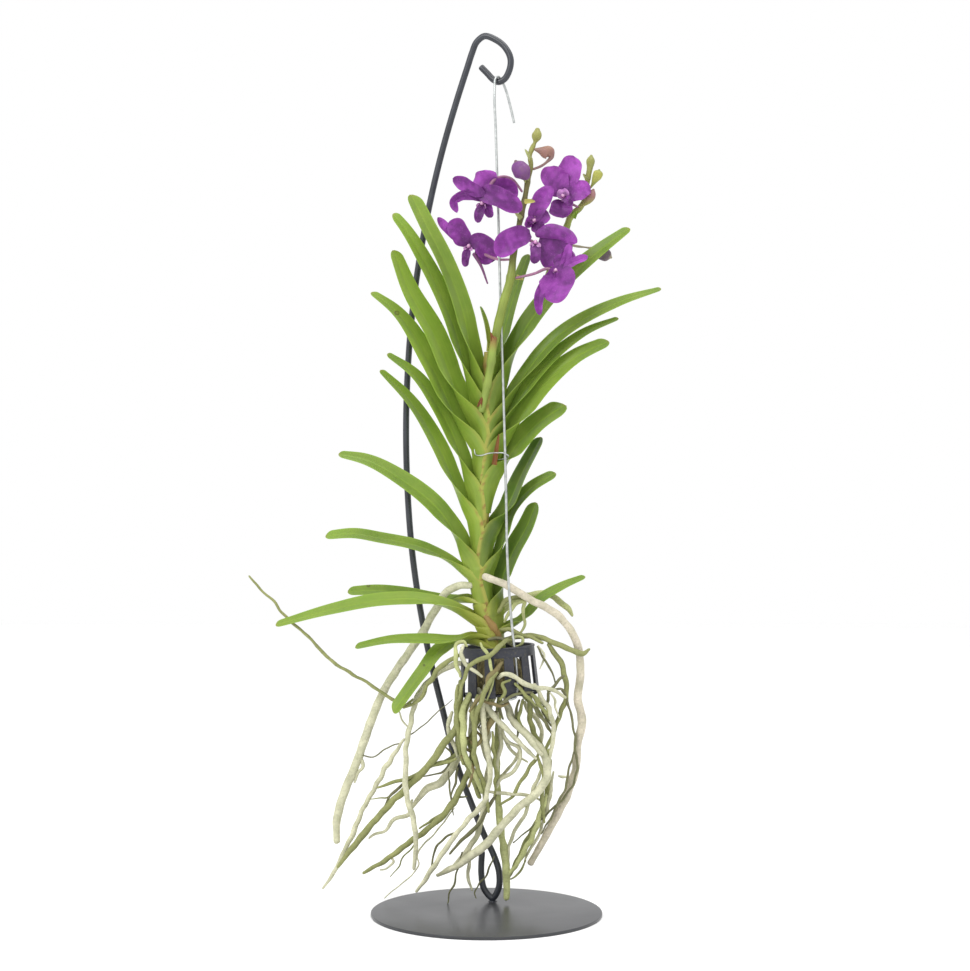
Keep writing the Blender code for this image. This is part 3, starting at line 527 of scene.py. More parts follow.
basket_finish = Finish("moulded_dark_plastic", 0.42)
basket_cloud = basket_finish.noise(90, 4)
basket_dust = basket_finish.noise(420, 3)
basket_grey = basket_finish.ramp(basket_cloud, [
    (0.3, paint(38, 40, 48)), (0.72, paint(54, 56, 66))])
basket_finish.colour(basket_finish.layered(
    basket_grey, (basket_dust, [(0.54, 0.0), (0.76, 0.4)], paint(104, 98, 74))))
basket_finish.roughness(basket_cloud, 0.34, 0.52)
basket_finish.bump(basket_dust, 0.08, 0.5)

band_low = BASKET_HEIGHT - BASKET_BAND_HEIGHT
band_outer = np.array([wall_radius(band_low), BASKET_RIM_RADIUS])
basket_bands = [
    (band_low, BASKET_HEIGHT, band_outer - BASKET_WALL, band_outer),
    (BASKET_HEIGHT - BASKET_LIP_DOWN, BASKET_HEIGHT + BASKET_LIP_UP,
     BASKET_RIM_RADIUS - BASKET_WALL - 0.1, BASKET_RIM_RADIUS + BASKET_LIP_OUT),
    (0.0, BASKET_FLOOR, BASKET_HOLE_RADIUS, BASKET_RING_RADIUS)]
basket_skins = [looped_skin(in_basket(turned_band(*band))) for band in basket_bands]
for rib in range(BASKET_RIBS):
    middle = BASKET_FIRST_SLOT - math.pi / 2 + (rib + 0.5) * 2 * math.pi / BASKET_RIBS
    basket_skins.append(closed_skin(in_basket(rib_rings(middle))))
add_piece("basket_moulding", basket_skins, basket_finish, "basket", "basket")


# The root knot is the old heart of the plant, a plug of bark and dead roots. Live roots wind
# round it and out over the basket's rim. It sits on the floor ring.
KNOT_PROFILE = [
    (0.6, 39), (9, 39.2), (15, 37.6), (21, 34.4), (25, 28), (26.6, 20), (26.2, 10), (24, 3.2), (17, 2.9),
    (16.2, 0.6), (0.6, 0.5)]
KNOT_SIDES = 72
KNOT_MIDDLE = np.array([0, 0, 18.0])


def waves(points, pitch, seed):
    """A smooth wandering value from -1 to 1: the mean of six sine waves in random directions."""
    rng = np.random.RandomState(seed)
    directions = unit_rows(rng.normal(size=(6, 3))) * 2 * np.pi / pitch
    phases = rng.uniform(0, 2 * np.pi, 6)
    return np.sin(points @ directions.T + phases).mean(axis=-1) * 1.6


knot_finish = Finish("bark_and_dead_root", 0.85)
knot_strands = knot_finish.noise(
    1.0, 5, 0.6, 0.8, knot_finish.stretched(knot_finish.place, (260, 260, 70)))
knot_finish.colour(knot_finish.ramp(knot_strands, [
    (0.25, paint(48, 42, 28)), (0.45, paint(96, 88, 52)), (0.6, paint(128, 118, 76)),
    (0.8, paint(176, 166, 120))]))
knot_finish.bump(knot_strands, 1.2, 0.9)

knot_profile = smooth([(r, 0, z) for r, z in KNOT_PROFILE], 5)[:, [0, 2]]
knot_rings = turned_rings(knot_profile, KNOT_SIDES)
knot_out = unit_rows(knot_rings - KNOT_MIDDLE)
knot_relief = 0.8 * waves(knot_rings, 9.0, 3) + 0.5 * waves(knot_rings, 4.0, 4) - 1.0
knot_relief = knot_relief * np.clip((knot_rings[..., 2] - 4) / 4, 0, 1)
knot_rings = knot_rings + knot_out * knot_relief[..., None]
add_piece("root_knot", [closed_skin(in_basket(knot_rings))], knot_finish, "crown", "root_crown")


# The stem is a thick upright cane. Old leaf sheaths wrap it in overlapping layers, green
# yellow with brown scars, and it grows out of the root knot.
STEM_ROUTE = [
    (8.6, 40, 244.9, 8.4), (8.2, 40, 251, 9.2), (4, 40, 269, 9.5), (-2, 40, 289, 9), (-5, 40, 311, 8.4),
    (-6, 40, 340, 8), (-4, 40, 394, 8), (-2, 40, 428, 8.2), (1, 40, 452, 8), (2, 40, 491, 7.4),
    (2, 40, 520, 6), (1, 40, 538, 4)]
STEM_TINT = paint(172, 164, 84)
STEM_BROWN = paint(136, 104, 58)
SPOT_BROWN = paint(112, 84, 40)
YOUNG_GREEN = paint(196, 200, 92)


def green_finish(name, roughness, vein_scale, spot_share, scars=()):
    """Waxy green tissue: long fine veins on its own map, soft clouds, brown spots and scars."""
    finish = Finish(name, roughness)
    veins = finish.noise(1.0, 3, source=finish.stretched(finish.surface(), (5.0, vein_scale, 1.0)))
    cloud = finish.noise(55, 4)
    tint = finish.tint()
    soft = finish.layered(
        finish.mix(0.82, BLACK, tint), (veins, [(0.3, 0.0), (0.7, 1.0)], tint),
        (cloud, [(0.35, 0.0), (0.75, 0.22)], finish.mix(0.5, tint, YOUNG_GREEN)))
    marks = finish.mix(1.0, finish.ramp(finish.cells(170), [(0.0, spot_share), (0.12, 0.0)]),
                       finish.ramp(finish.noise(380, 2), [(0.5, 0.0), (0.6, 1.0)]), "MULTIPLY")
    marked = finish.mix(marks, soft, SPOT_BROWN)
    for middle, radius in scars:
        marked = finish.scar(marked, middle, radius)
    finish.colour(marked)
    finish.roughness(cloud, roughness - 0.08, roughness + 0.1)
    finish.bump(veins, 0.12, 0.6)
    finish.put(finish.shader, {
        "Specular IOR Level": 0.32, "Subsurface Weight": 0.08,
        "Subsurface Radius": (0.002, 0.003, 0.0008), "Subsurface Scale": 1.0})
    return finish


def blended(first, second, share):
    """Colours that run from the first to the second with a share from 0 to 1."""
    share = np.clip(np.asarray(share, float), 0, 1)[..., None]
    return np.asarray(first) * (1 - share) + np.asarray(second) * share


def read_at(places, stops, rows):
    """The rows' columns read at places along their stops."""
    return np.stack([np.interp(places, stops, column) for column in np.transpose(rows)], axis=-1)


stem_finish = green_finish("leafy_stem", 0.5, 46, 0.9)
stem_path = smooth(STEM_ROUTE, 14)
stem_rings = tube_rings(stem_path[:, :3], stem_path[:, 3], 40)
stem_out = stem_rings - stem_path[:, None, :3]
stem_scar = np.sin(stem_path[:, 2] / 6.3)[:, None] ** 8
stem_rings = stem_rings + unit_rows(stem_out) * (
    0.5 * waves(stem_rings, 14.0, 7) - 0.6 + 0.5 * stem_scar)[..., None]
stem_tint = blended(STEM_TINT, STEM_BROWN,
                    0.25 + 0.5 * waves(stem_rings, 17.0, 8) + 0.4 * stem_scar)
add_piece("stem_cane", [closed_skin(stem_rings, stem_tint)], stem_finish, "stem", "stem")


# The leaves are thick waxy straps in two opposite rows. Each base clasps the stem as a sheath,
# folds to a keel and opens to a shallow V with a blunt tip.
LEAF_THICKNESS = 1.7
LEAF_GAP = 0.42
LEAF_KEEL = 0.17
LEAF_POINTS = 17
BLADE_RINGS = 46
TIP_RINGS = 9
# The keel is rounded over this share of half the width, squared.
KEEL_ROUND = 0.02
# On each side a leaf clasps the stem over this share of its width.
CLASP_SHARE = 0.19
# A steep leaf stands up to this much further off the stem.
RISING_GAP = 0.8
SHEATH_LENGTH = 32.0
SHEATH_RINGS = 22
SHEATH_GAP = 0.2
SHEATH_SPREAD = 1.5
STEM_FOOT = 241.0
STEM_HEIGHTS = [row[2] for row in STEM_ROUTE]
# How far a sheath reaches round the stem from its keel, in degrees, at its foot and its top.
WRAP_AT_FOOT = 128.0
WRAP_AT_TOP = 98.0
# How far each side of a blade stands open from its keel, in degrees, and the share of the
# blade's length and the length in millimetres over which it opens.
FOLD_AT_STEM = 31.0
FOLD_OPEN = 76.0
OPENING_SHARE = 0.36
OPENING_LENGTH = 22.0
# The share of its length over which a blade turns to its tilt.
TURNING_SHARE = 0.35
LEAF_LIGHT = paint(130, 160, 56)
LEAF_MIDDLE = paint(110, 142, 46)
LEAF_DARK = paint(76, 104, 36)
SHEATH_TINT = paint(172, 172, 74)
SHEATH_EDGE = paint(168, 162, 78)
SHEATH_DOTS = paint(140, 98, 56)
SCORCHED_TIP = paint(150, 130, 70)
# Each leaf: height and angle of its joint on the stem, width, tilt of its blade, colour share
# from light to dark, obliqueness of its tip, its tip's width as a share, and its midline. The
# share is set higher on the right-hand row, away from the lamp, as painted shade.
LEAVES = {
    "leaf_left_02": (498, 180, 25, 42, 0.25, 0.2, 0.7, [
        (-12, 39, 538), (-24, 38, 588), (-40, 38, 629), (-57, 39, 662), (-72, 41, 692)]),
    "leaf_left_03": (482, 180, 24, 42, 0.15, -0.2, 0.5, [
        (-18, 39, 524), (-34, 37, 576), (-58, 35, 625), (-80, 34, 660), (-90, 34, 672)]),
    "leaf_left_04": (468, 180, 28, 42, 0, 0.1, 0.55, [
        (-24, 40, 497), (-50, 38, 559), (-73, 36, 598), (-89, 36, 637)]),
    "leaf_left_05": (447, 180, 26, 42, 0.25, 0.3, 0.32, [
        (-27, 40, 476), (-54, 37, 530), (-88, 35, 579), (-111, 34, 596)]),
    "leaf_left_06": (402, 180, 22, 42, 0.35, -0.1, 0.3, [
        (-24, 40, 441), (-45, 37, 485), (-69, 36, 517), (-96, 35, 536)]),
    "leaf_left_07": (376, 180, 21, 42, 0.2, 0.2, 0.32, [
        (-26, 42, 404), (-46, 44, 449), (-72, 44, 490), (-103, 45, 521)]),
    "leaf_left_08": (331, 188, 24, 42, 0.3, 0, 0.35, [
        (-27, 38, 361), (-48, 34, 389), (-82, 31, 416), (-117, 30, 434), (-143, 30, 439)]),
    "leaf_left_09": (318, 180, 17, 50, 0.25, 0.2, 0.75, [
        (-34, 44, 335), (-60, 46, 348), (-104, 46, 358), (-128, 45, 362), (-157, 44, 360)]),
    "leaf_left_10": (297, 180, 16, 42, 0.45, 0.1, 0.7, [
        (-17, 41.2, 297), (-27, 48, 297), (-46, 60, 297), (-80, 59, 303), (-109, 56, 306),
        (-136, 55, 305)]),
    "leaf_left_11": (275, 186, 19, 50, 0.3, 0.1, 0.5, [
        (-28, 33, 289), (-55, 30, 298), (-98, 31, 299), (-151, 30, 289), (-204, 28, 274)]),
    "leaf_left_12": (263, 192, 15, 55, 0.4, 0.2, 0.62, [
        (-30, 29, 260), (-59, 26, 261), (-93, 26, 260), (-127, 26, 253)]),
    "leaf_left_13": (255, 180, 18, 45, 0.2, 0.3, 0.8, [
        (-24, 40, 258), (-44, 37, 251), (-64, 30, 227), (-91, 24, 190)]),
    "leaf_right_01": (516, 10, 18, 42, 0.55, 0.1, 0.6, [
        (13, 44, 545), (20, 46, 575), (31, 46, 610), (40, 46, 634)]),
    "leaf_right_02": (497, 0, 26, 42, 0.5, 0.2, 0.4, [
        (23, 39, 538), (57, 36, 590), (105, 34, 634), (138, 32, 658)]),
    "leaf_right_03": (471, 0, 19, 42, 0.55, 0, 0.32, [
        (28, 38, 505), (71, 36, 556), (129, 34, 587), (169, 32, 599)]),
    "leaf_right_04": (455, 0, 16, 42, 0.6, 0.1, 0.36, [
        (28, 38, 489), (67, 37, 537), (96, 37, 558), (128, 38, 571)]),
    "leaf_right_05": (443, 0, 26, 42, 0.38, 0.2, 0.55, [
        (31, 38, 476), (55, 35, 508), (86, 34, 534), (118, 34, 549)]),
    "leaf_right_06": (418, 0, 28, 42, 0.42, 0.35, 0.8, [
        (23, 40, 443), (47, 38, 469), (75, 36, 488)]),
    "leaf_right_07": (362, 0, 25, 55, 0.95, 0.1, 0.6, [
        (17, 41, 386), (31, 42, 418), (52, 44, 456)]),
    "leaf_right_08": (325, 3, 17, 45, 0.7, 0.1, 0.7, [
        (12, 42, 347), (24, 44, 386), (43, 45, 407), (67, 45, 421)]),
    "leaf_right_09": (284, 5, 25, 45, 0.85, 0, 0.68, [
        (12, 42, 313), (24, 44, 345), (38, 45, 370), (47, 45, 392)]),
    "leaf_right_10": (266, 6, 14, 50, 0.6, 0.1, 0.52, [
        (34, 42, 279), (53, 43, 299), (74, 44, 311), (96, 45, 320)]),
}
YOUNG_LEAF = [(0.5, 40, 538.6), (1, 40, 550), (-1, 40, 564), (-6, 40, 582)]
YOUNG_HALF_WIDTH = 5.6


def blade_share(u, width, tip):
    """Width along a strap leaf as a share of its full width, before its round tip.

    A broad leaf is wider where it clasps the stem. Every leaf narrows to its tip's share.
    """
    broad = np.clip((width - 14.0) / 8.0, 0, 1)
    root = 1.0 + (0.58 * broad - 0.2) * (1 - ease(u / 0.35))
    return root * (1.0 - (1.0 - tip) * np.clip((u - 0.42) / 0.58, 0, 1) ** 1.7)


def ease(share):
    """A smooth step from 0 to 1."""
    share = np.clip(share, 0, 1)
    return share * share * (3 - 2 * share)


def measured(route):
    """A fine smooth curve through a route, and how far along it each point is."""
    fine = smooth(route, 24)
    return fine, np.concatenate([[0], np.cumsum(np.linalg.norm(np.diff(fine, axis=0), axis=1))])


def two_faces(count):
    """Shares from -1 to 1 across a blade's face and back over its underside, and face signs."""
    strip = np.linspace(-1, 1, count)
    return np.concatenate([strip, strip[::-1]])[None], np.repeat([1.0, -1.0], count)[None]


def blade_rings(path, across, face, wide, deep):
    """Rings about a path: so wide in the across direction and so deep in the face direction."""
    return path[:, None] + across[:, None] * wide[..., None] + face[:, None] * deep[..., None]


def blade_frames(path, side, tilt, u):
    """The across and face directions of a blade along its midline.

    At the stem the blade stands edge-on, and it turns to its tilt over a third of its length.
    """
    along = unit_rows(np.gradient(path, axis=0))
    inward = unit_rows(np.stack([-side * along[:, 2], 0 * along[:, 0], side * along[:, 0]], -1))
    away = np.cross(along, inward)
    away = away * np.where(away[:, 1:2] < 0, -1, 1)
    turn = np.radians(90 + (tilt - 90) * np.minimum(u / TURNING_SHARE, 1.0))[:, None]
    return (inward * np.cos(turn) + away * np.sin(turn),
            inward * np.sin(turn) - away * np.cos(turn))


def leaf_tint(rings, u, v, blend, dark, old, seed):
    """The colours over a leaf's rings, from u = 0 at the stem to 1 and v = -1 to 1 across.

    The margins are pale, and so is the midrib along the keel, partly as a painted highlight on
    the fold. The sheath is yellow green by the share old, with a straw edge dotted brown, and the
    tip is scorched. blend is 0 on the sheath, 1 on the blade.
    """
    cloud = 0.12 * np.sin(3 * u + seed) + 0.14 * waves(rings, 60.0, seed)
    tint = blended(LEAF_LIGHT, LEAF_DARK, dark + cloud)
    margin = np.abs(v) ** 12 * 0.4
    # The pale line along the keel is the midrib, and partly a painted highlight on the fold.
    rib = np.exp(-(v / 0.08) ** 2) * 0.35
    tint = blended(tint, LEAF_LIGHT * 1.35, margin + rib + 0 * u)
    young = np.exp(-u * 9.0)
    tint = blended(tint, SHEATH_TINT, old * ((1 - blend) + young * blend) + 0 * v)
    rim = np.clip((np.abs(v) - 0.74) / 0.12, 0, 1) * np.exp(-u * 14)
    tint = blended(tint, SHEATH_EDGE, rim * 0.75)
    dots = np.clip(4 * waves(rings, 6.5, seed + 20) - 1.2, 0, 1)
    tint = blended(tint, SHEATH_DOTS, rim * dots * 0.8)
    scorched = np.clip((u - 0.985) / 0.015, 0, 1) * 0.5
    return blended(tint, SCORCHED_TIP, scorched + 0 * v)


def leaf_foot(height, turn, width, route):
    """Where a blade's midline starts: outside the stem, with room for its keel."""
    stem_x, stem_y, _, stem_radius = read_at(height, STEM_HEIGHTS, STEM_ROUTE)
    lean = np.array(route[0], float) - (stem_x, stem_y, height)
    rise = abs(lean[2]) / np.linalg.norm(lean)
    clasp = CLASP_SHARE * width
    keel = 2 * clasp * LEAF_KEEL * rise
    clear = stem_radius + LEAF_GAP + RISING_GAP * rise
    out = clear * np.hypot(keel, clasp) / clasp - keel + clasp * abs(math.sin(turn))
    return stem_x + out * math.cos(turn), stem_y + out * math.sin(turn), height


def drop_sections(v, low, radius, keel_at):
    """Sections round the stem's axis: an arc, and two straight sides that meet at the keel.

    They are measured from the keel, sideways and towards the axis.
    """
    reach = np.radians(WRAP_AT_FOOT + (WRAP_AT_TOP - WRAP_AT_FOOT) * low ** 1.3)
    corner = np.arccos(np.minimum(radius / keel_at, 1))
    reach_out = radius / np.cos(np.clip(corner - np.abs(reach * v), 0, None))
    return reach_out * np.sin(reach * v), keel_at - reach_out * np.cos(reach * v)


def fold_sections(v, u, half, seed):
    """Sections of a blade: a V with a rounded keel that opens along it, its margins wavy."""
    fold = np.radians(FOLD_AT_STEM + (FOLD_OPEN - FOLD_AT_STEM) * ease(u / OPENING_SHARE))
    sharp = math.sqrt(KEEL_ROUND)
    ridge = (np.sqrt(v * v + KEEL_ROUND) - sharp) / (math.sqrt(1 + KEEL_ROUND) - sharp)
    wavy = 0.05 * half * np.sin(9 * u + seed) * v * np.abs(v) * u
    return half * np.sin(fold) * v, half * np.cos(fold) * ridge + wavy


def thickened(wide, deep, thick):
    """Closed loops about the sections: along the upper side, and back along the under side."""
    slope_wide, slope_deep = np.gradient(wide, axis=1), np.gradient(deep, axis=1)
    size = np.hypot(slope_wide, slope_deep) + 1e-9
    off_wide, off_deep = -slope_deep / size * thick, slope_wide / size * thick
    return (np.hstack([wide + off_wide, (wide - off_wide)[:, ::-1]]),
            np.hstack([deep + off_deep, (deep - off_deep)[:, ::-1]]))


def leaf_skin(side, height, angle, width, tilt, dark, oblique, tip, route, seed):
    """A leaf with its sheath, as one closed skin.

    Each section runs from one margin over the keel to the other. On the sheath it is a drop
    round the stem's axis. On the blade it is a V whose sides each hold half the width: steep
    at the stem, and open to a shallow V from a little over a third of the length. The skin
    goes across the upper side and back under it, thick at the keel and thin at the margins.
    """
    # The blade's midline, its directions, half its width and the line of its keel.
    turn = math.radians(angle)
    fine, far = measured([leaf_foot(height, turn, width, route)] + route)
    cap = 0.5 * width * tip * (1.15 - 0.3 * abs(oblique))
    stops = np.concatenate([np.linspace(0, far[-1] - cap, BLADE_RINGS, endpoint=False),
                            far[-1] - cap * np.cos(np.linspace(0, np.pi / 2, TIP_RINGS))])
    path = read_at(stops, far, fine)
    u = stops / far[-1]
    across, face = blade_frames(path, side, tilt, u)
    left = np.clip((far[-1] - stops) / cap, 0.02, 1)
    full = 0.5 * width * blade_share(u, width, tip)
    half = full * np.sqrt(1 - (1 - left) ** 2)
    keel_line = path - face * (full * (0.45 - 0.14 * ease(u / 0.3)))[:, None]

    # The sheath runs up the stem to the blade's foot, and its keel stands off more and more.
    low = np.linspace(0, 1, SHEATH_RINGS, endpoint=False)
    sheath_z = keel_line[0, 2] - min(SHEATH_LENGTH, keel_line[0, 2] - STEM_FOOT) * (1 - low)
    axis = read_at(sheath_z, STEM_HEIGHTS, STEM_ROUTE)
    outward = np.array([math.cos(turn), math.sin(turn), 0.0])
    wrap = axis[:, 3] + SHEATH_GAP + SHEATH_SPREAD * low
    keel_out = (keel_line[0] - [axis[-1, 0], axis[-1, 1], 0]) @ outward
    keel_out = max(keel_out, wrap[-1] + SHEATH_GAP)
    keel_at = wrap + (keel_out - wrap[-1]) * low ** 1.5
    sheath_line = np.stack([axis[:, 0], axis[:, 1], sheath_z], -1) + outward * keel_at[:, None]
    line = np.vstack([sheath_line, keel_line])

    # The section's directions turn from the sheath's to the blade's where blend goes from 0 to 1.
    blend = np.append(0 * low, ease(stops / OPENING_LENGTH))[:, None]
    sideways = np.cross(outward, [0, 0, 1.0])
    sideways = sideways * np.sign(sideways @ across[0])
    sheath = np.ones((SHEATH_RINGS, 1))
    wide = unit_rows(sideways * (1 - blend) + np.vstack([sheath * sideways, across]) * blend)
    deep = unit_rows(-outward * (1 - blend) + np.vstack([-sheath * outward, face]) * blend)

    # The sections, from margin to margin over the sheath's rings and then the blade's.
    v = np.linspace(-1, 1, LEAF_POINTS)[None]
    blade = np.ones(len(path))
    arc_wide, arc_deep = drop_sections(v, np.append(low, blade)[:, None],
                                       np.append(wrap, wrap[-1] * blade)[:, None],
                                       np.append(keel_at, keel_out * blade)[:, None])
    u_all = np.append(0 * low, u)[:, None]
    half_all = np.append(0 * low + half[0], half)[:, None]
    fold_wide, fold_deep = fold_sections(v, u_all, half_all, seed)
    thick = LEAF_THICKNESS * (0.55 + 0.45 * blend) * (1 - 0.35 * u_all)
    thick = 0.5 * thick * (1 - 0.72 * np.abs(v) ** 2.5)
    thick = thick * np.minimum(1, half_all / (0.3 * width))
    loop_wide, loop_deep = thickened(arc_wide * (1 - blend) + fold_wide * blend,
                                     arc_deep * (1 - blend) + fold_deep * blend, thick)
    rings = blade_rings(line, wide, deep, loop_wide, loop_deep)

    # The tip is cut obliquely: one margin runs on and the other falls back.
    along = unit_rows(np.gradient(line, axis=0))
    v_loop = np.hstack([v, v[:, ::-1]])
    slide = -half_all * np.clip((u_all - 0.8) / 0.2, 0, 1) ** 2 * oblique * v_loop
    rings = rings + along[:, None] * slide[..., None]
    old = (0.1 + 0.55 * ease((345.0 - height) / 80.0)) * (1.0 if side < 0 else 0.5)
    return closed_skin(rings, leaf_tint(rings, u_all, v_loop, blend, dark, old, seed))


# Each scar: its middle and its radius.
LEAF_SCARS = [((-86.8, 35, 575.4), 2.6), ((-73.3, 36, 576.4), 1.6), ((-43.2, 38, 566.7), 2.0),
              ((-115.9, 55, 310.4), 2.4), ((-60.6, 30, 233.8), 1.5)]
leaf_light_finish = green_finish("waxy_light_leaf", 0.40, 60, 0.75, LEAF_SCARS)
# The right-hand row's finish: its leaves carry painted shade in their darker tints.
leaf_shaded_row_finish = green_finish("waxy_leaf_shaded_row", 0.38, 60, 0.6)
for number, (node, shape) in enumerate(LEAVES.items()):
    if "left" in node:
        side, finish, slot = -1, leaf_light_finish, "leaf_light"
    else:
        side, finish, slot = 1, leaf_shaded_row_finish, "leaf_dark"
    add_piece(node + "_blade", [leaf_skin(side, *shape, number)], finish, slot, node)

young_path = smooth(YOUNG_LEAF, 14)
young_u = np.linspace(0, 1, len(young_path))[:, None]
young_across, young_face = blade_frames(young_path, -1, 60, young_u[:, 0])
young_v, young_face_sign = two_faces(11)
young_half = YOUNG_HALF_WIDTH * np.sqrt(np.clip(1.02 - young_u ** 3.0, 0.01, 1))
young_half = young_half * (0.75 + 0.25 * young_u)
young_deep = young_half * 0.35 * np.abs(young_v) + young_face_sign * 0.6 * (1 - 0.7 * young_v ** 2)
young_rings = blade_rings(young_path, young_across, young_face, young_half * young_v, young_deep)
young_tint = blended(SHEATH_TINT, LEAF_MIDDLE, young_u + 0 * young_v)
add_piece("leaf_left_01_blade", [closed_skin(young_rings, young_tint)], leaf_light_finish,
          "leaf_light", "leaf_left_01")


# The flower stalks are round olive canes with a swollen joint and a dry bract at each branch.
# They grow out of leaf joints high on the stem. One old stalk is cut off short.
STALKS = {
    "flower_stalk_front": [
        (3, 30.9, 526, 3.4), (10, 22.5, 557, 4.2), (17, 20, 586, 4.3), (23, 20, 606, 4),
        (26, 23, 630, 3.3), (31, 26, 657, 2.8), (37, 28, 685, 2.6), (40, 29, 703, 2.5),
        (43, 30, 718, 2.2), (42, 30, 727, 2), (45, 31, 736, 2.4), (47, 32, 740.5, 2), (48, 32, 744, 4.3),
        (49, 32, 748, 4.6), (49.4, 32, 752.4, 2.4)],
    "flower_stalk_back": [
        (4.6, 49.7, 512, 3.2), (15, 53, 526, 3.5), (33, 54.5, 552, 3.6), (53, 52.5, 586, 3.5),
        (63, 50, 620, 3.4), (71, 49, 645, 3.4), (78, 49, 660, 3.3), (83, 49, 672, 3), (91, 49, 679, 3),
        (96, 49, 687, 2.6), (99, 49, 708, 2.4), (101, 49, 718, 3), (102, 49, 727, 3.4),
        (102.4, 49, 730, 1.4)],
    "old_stalk_stub": [
        (-5, 30.6, 481, 3.4), (-1, 27.4, 497, 3.7), (3, 22.6, 517, 3.8), (6, 17.2, 538, 3.6),
        (7, 15.6, 549, 3)],
}
# The colours of each stalk at heights from its foot to its top, blended in between.
STALK_TINTS = {
    "flower_stalk_front": [(604, (134, 150, 68)), (640, (98, 90, 58)), (706, (104, 98, 60)),
                           (726, (150, 150, 84))],
    "flower_stalk_back": [(640, (128, 146, 64)), (700, (150, 152, 88))],
    "old_stalk_stub": [(536, (138, 158, 74)), (549, (146, 104, 62))],
}
# Bracts: the foot on the stalk, the tip, the width and the name of the colour.
BRACTS = {
    "flower_stalk_front": [
        ((39, 27, 701), (31.5, 26, 711.5), 5.0, "pale"), ((36.5, 24.5, 681), (47, 27, 682), 5.0, "yellow"),
        ((43, 28.6, 722), (37, 28, 733), 4.0, "pale"), ((28.5, 20.6, 608), (35.5, 21, 606), 5.0, "yellow"),
        ((33, 24, 665), (27, 22, 671), 4.5, "pale")],
    "flower_stalk_back": [
        ((85, 47, 669), (89, 45, 676), 5.0, "green"), ((96, 47.5, 690), (91, 46, 697), 4.0, "pale"),
        ((64, 48.6, 661), (74, 48, 656), 4.0, "pale"), ((98, 47, 706), (94, 46, 712), 4.0, "pale")],
    "old_stalk_stub": [],
}
BRACT_TINTS = {"pale": paint(166, 170, 116), "yellow": paint(190, 182, 104),
               "green": paint(132, 168, 60), "dry": paint(124, 68, 42)}


def grown_skin(route, tint, sides=20, per_span=8, bumps=0.0, pitch=16.0, seed=1, joints=(),
               wander=0.0):
    """A round stalk or root along a route, with its own radii and round ends.

    The surface moves in and out by bumps, and each joint height swells it by a fifth. The path
    strays from the route by wander. The tint is one colour, or colours at heights.
    """
    rows = smooth(route, per_span)
    path, radii = with_round_ends(rows[:, :3], rows[:, 3])
    for joint in joints:
        radii = radii * (1 + 0.22 * np.exp(-((path[:, 2] - joint) / 3.0) ** 2))
    if wander:
        hold = np.sqrt(np.sin(np.pi * np.linspace(0, 1, len(path))))[:, None]
        stray = np.stack([waves(path, 15.0, seed + 70 + axis) for axis in range(3)], axis=-1)
        path = path + wander * hold * stray
        radii = radii * (1 + 0.1 * min(wander, 1.0) * waves(path, 11.0, seed + 80))
    rings = tube_rings(path, radii, sides)
    if bumps:
        outward = unit_rows(rings - path[:, None])
        relief = bumps * np.minimum(radii, 4.0)[:, None] / 4.0 * waves(rings, pitch, seed)
        rings = rings + outward * relief[..., None]
    if isinstance(tint, list):
        heights, colours = zip(*tint)
        tint = read_at(rings[..., 2], heights, [paint(*colour) for colour in colours])
    shade = 1 + 0.12 * waves(rings, 22.0, seed + 40)
    return closed_skin(rings, tint * shade[..., None])


def scale_skin(foot, tip, width, tint):
    """A small pointed bract: a hollow leaf form from foot to tip, bowed away from the stalk."""
    foot, tip = np.array(foot, float), np.array(tip, float)
    along = (tip - foot) / np.linalg.norm(tip - foot)
    across = unit_rows(np.cross(along, [0.0, -1.0, 0.2]))
    face = np.cross(across, along)
    u = np.linspace(0, 1, 12)[:, None]
    v, layer = two_faces(7)
    half = 0.5 * width * np.sqrt(np.clip(1 - u ** 1.6, 0.004, 1))
    deep = half * 0.9 * v * v + 0.25 * layer * (1 - 0.6 * v * v) + 0.8 * np.sin(np.pi * u)
    rings = blade_rings(foot + (tip - foot) * u, across[None], face[None], half * v, deep)
    return closed_skin(rings, tint)


# A closed bud on the back stalk.
YOUNG_BUD = [(90, 47, 679, 1.2), (95, 46.4, 682, 1.8), (99, 46, 686, 3.8), (101.6, 46, 690, 4.6),
             (103.6, 46, 694.5, 3.0), (104.4, 46, 696.5, 1.2)]
stalk_finish = green_finish("olive_stalk", 0.46, 24, 0.5)
STALK_JOINTS = {"flower_stalk_front": (608, 640, 668, 682, 701, 722),
                "flower_stalk_back": (556, 612, 646, 671, 690, 708), "old_stalk_stub": (505, 528)}
for node, route in STALKS.items():
    skins = [grown_skin(route, STALK_TINTS[node], bumps=0.3, seed=5, joints=STALK_JOINTS[node])]
    if node == "flower_stalk_back":
        skins.append(grown_skin(YOUNG_BUD, [(683, (150, 146, 84)), (690, (160, 116, 116))], 16, 6))
    for foot, tip, width, kind in BRACTS[node]:
        skins.append(scale_skin(foot, tip, width, BRACT_TINTS[kind]))
    add_piece(node + "_cane", skins, stalk_finish, "stalk", node)

# Dry bracts at the leaf joints, and an old brown joint at the stem's foot.
DRY_BRACTS = [((7.5, 26, 428), (12, 24, 458), 5.0), ((-7, 29, 484), (-4, 26, 494), 4.5),
              ((6, 14.5, 547), (4, 14, 555), 3.6)]
OLD_JOINT = [(-1, 30.5, 281, 2.2), (4, 29.6, 275, 3.3), (9, 29.6, 268, 3.2), (13, 30.4, 261, 2.0)]
add_piece("dry_bracts", [scale_skin(*shape, BRACT_TINTS["dry"]) for shape in DRY_BRACTS]
          + [grown_skin(OLD_JOINT, paint(146, 114, 68), 14, 6, 0.8, 6.0, 3)],
          stalk_finish, "stem")


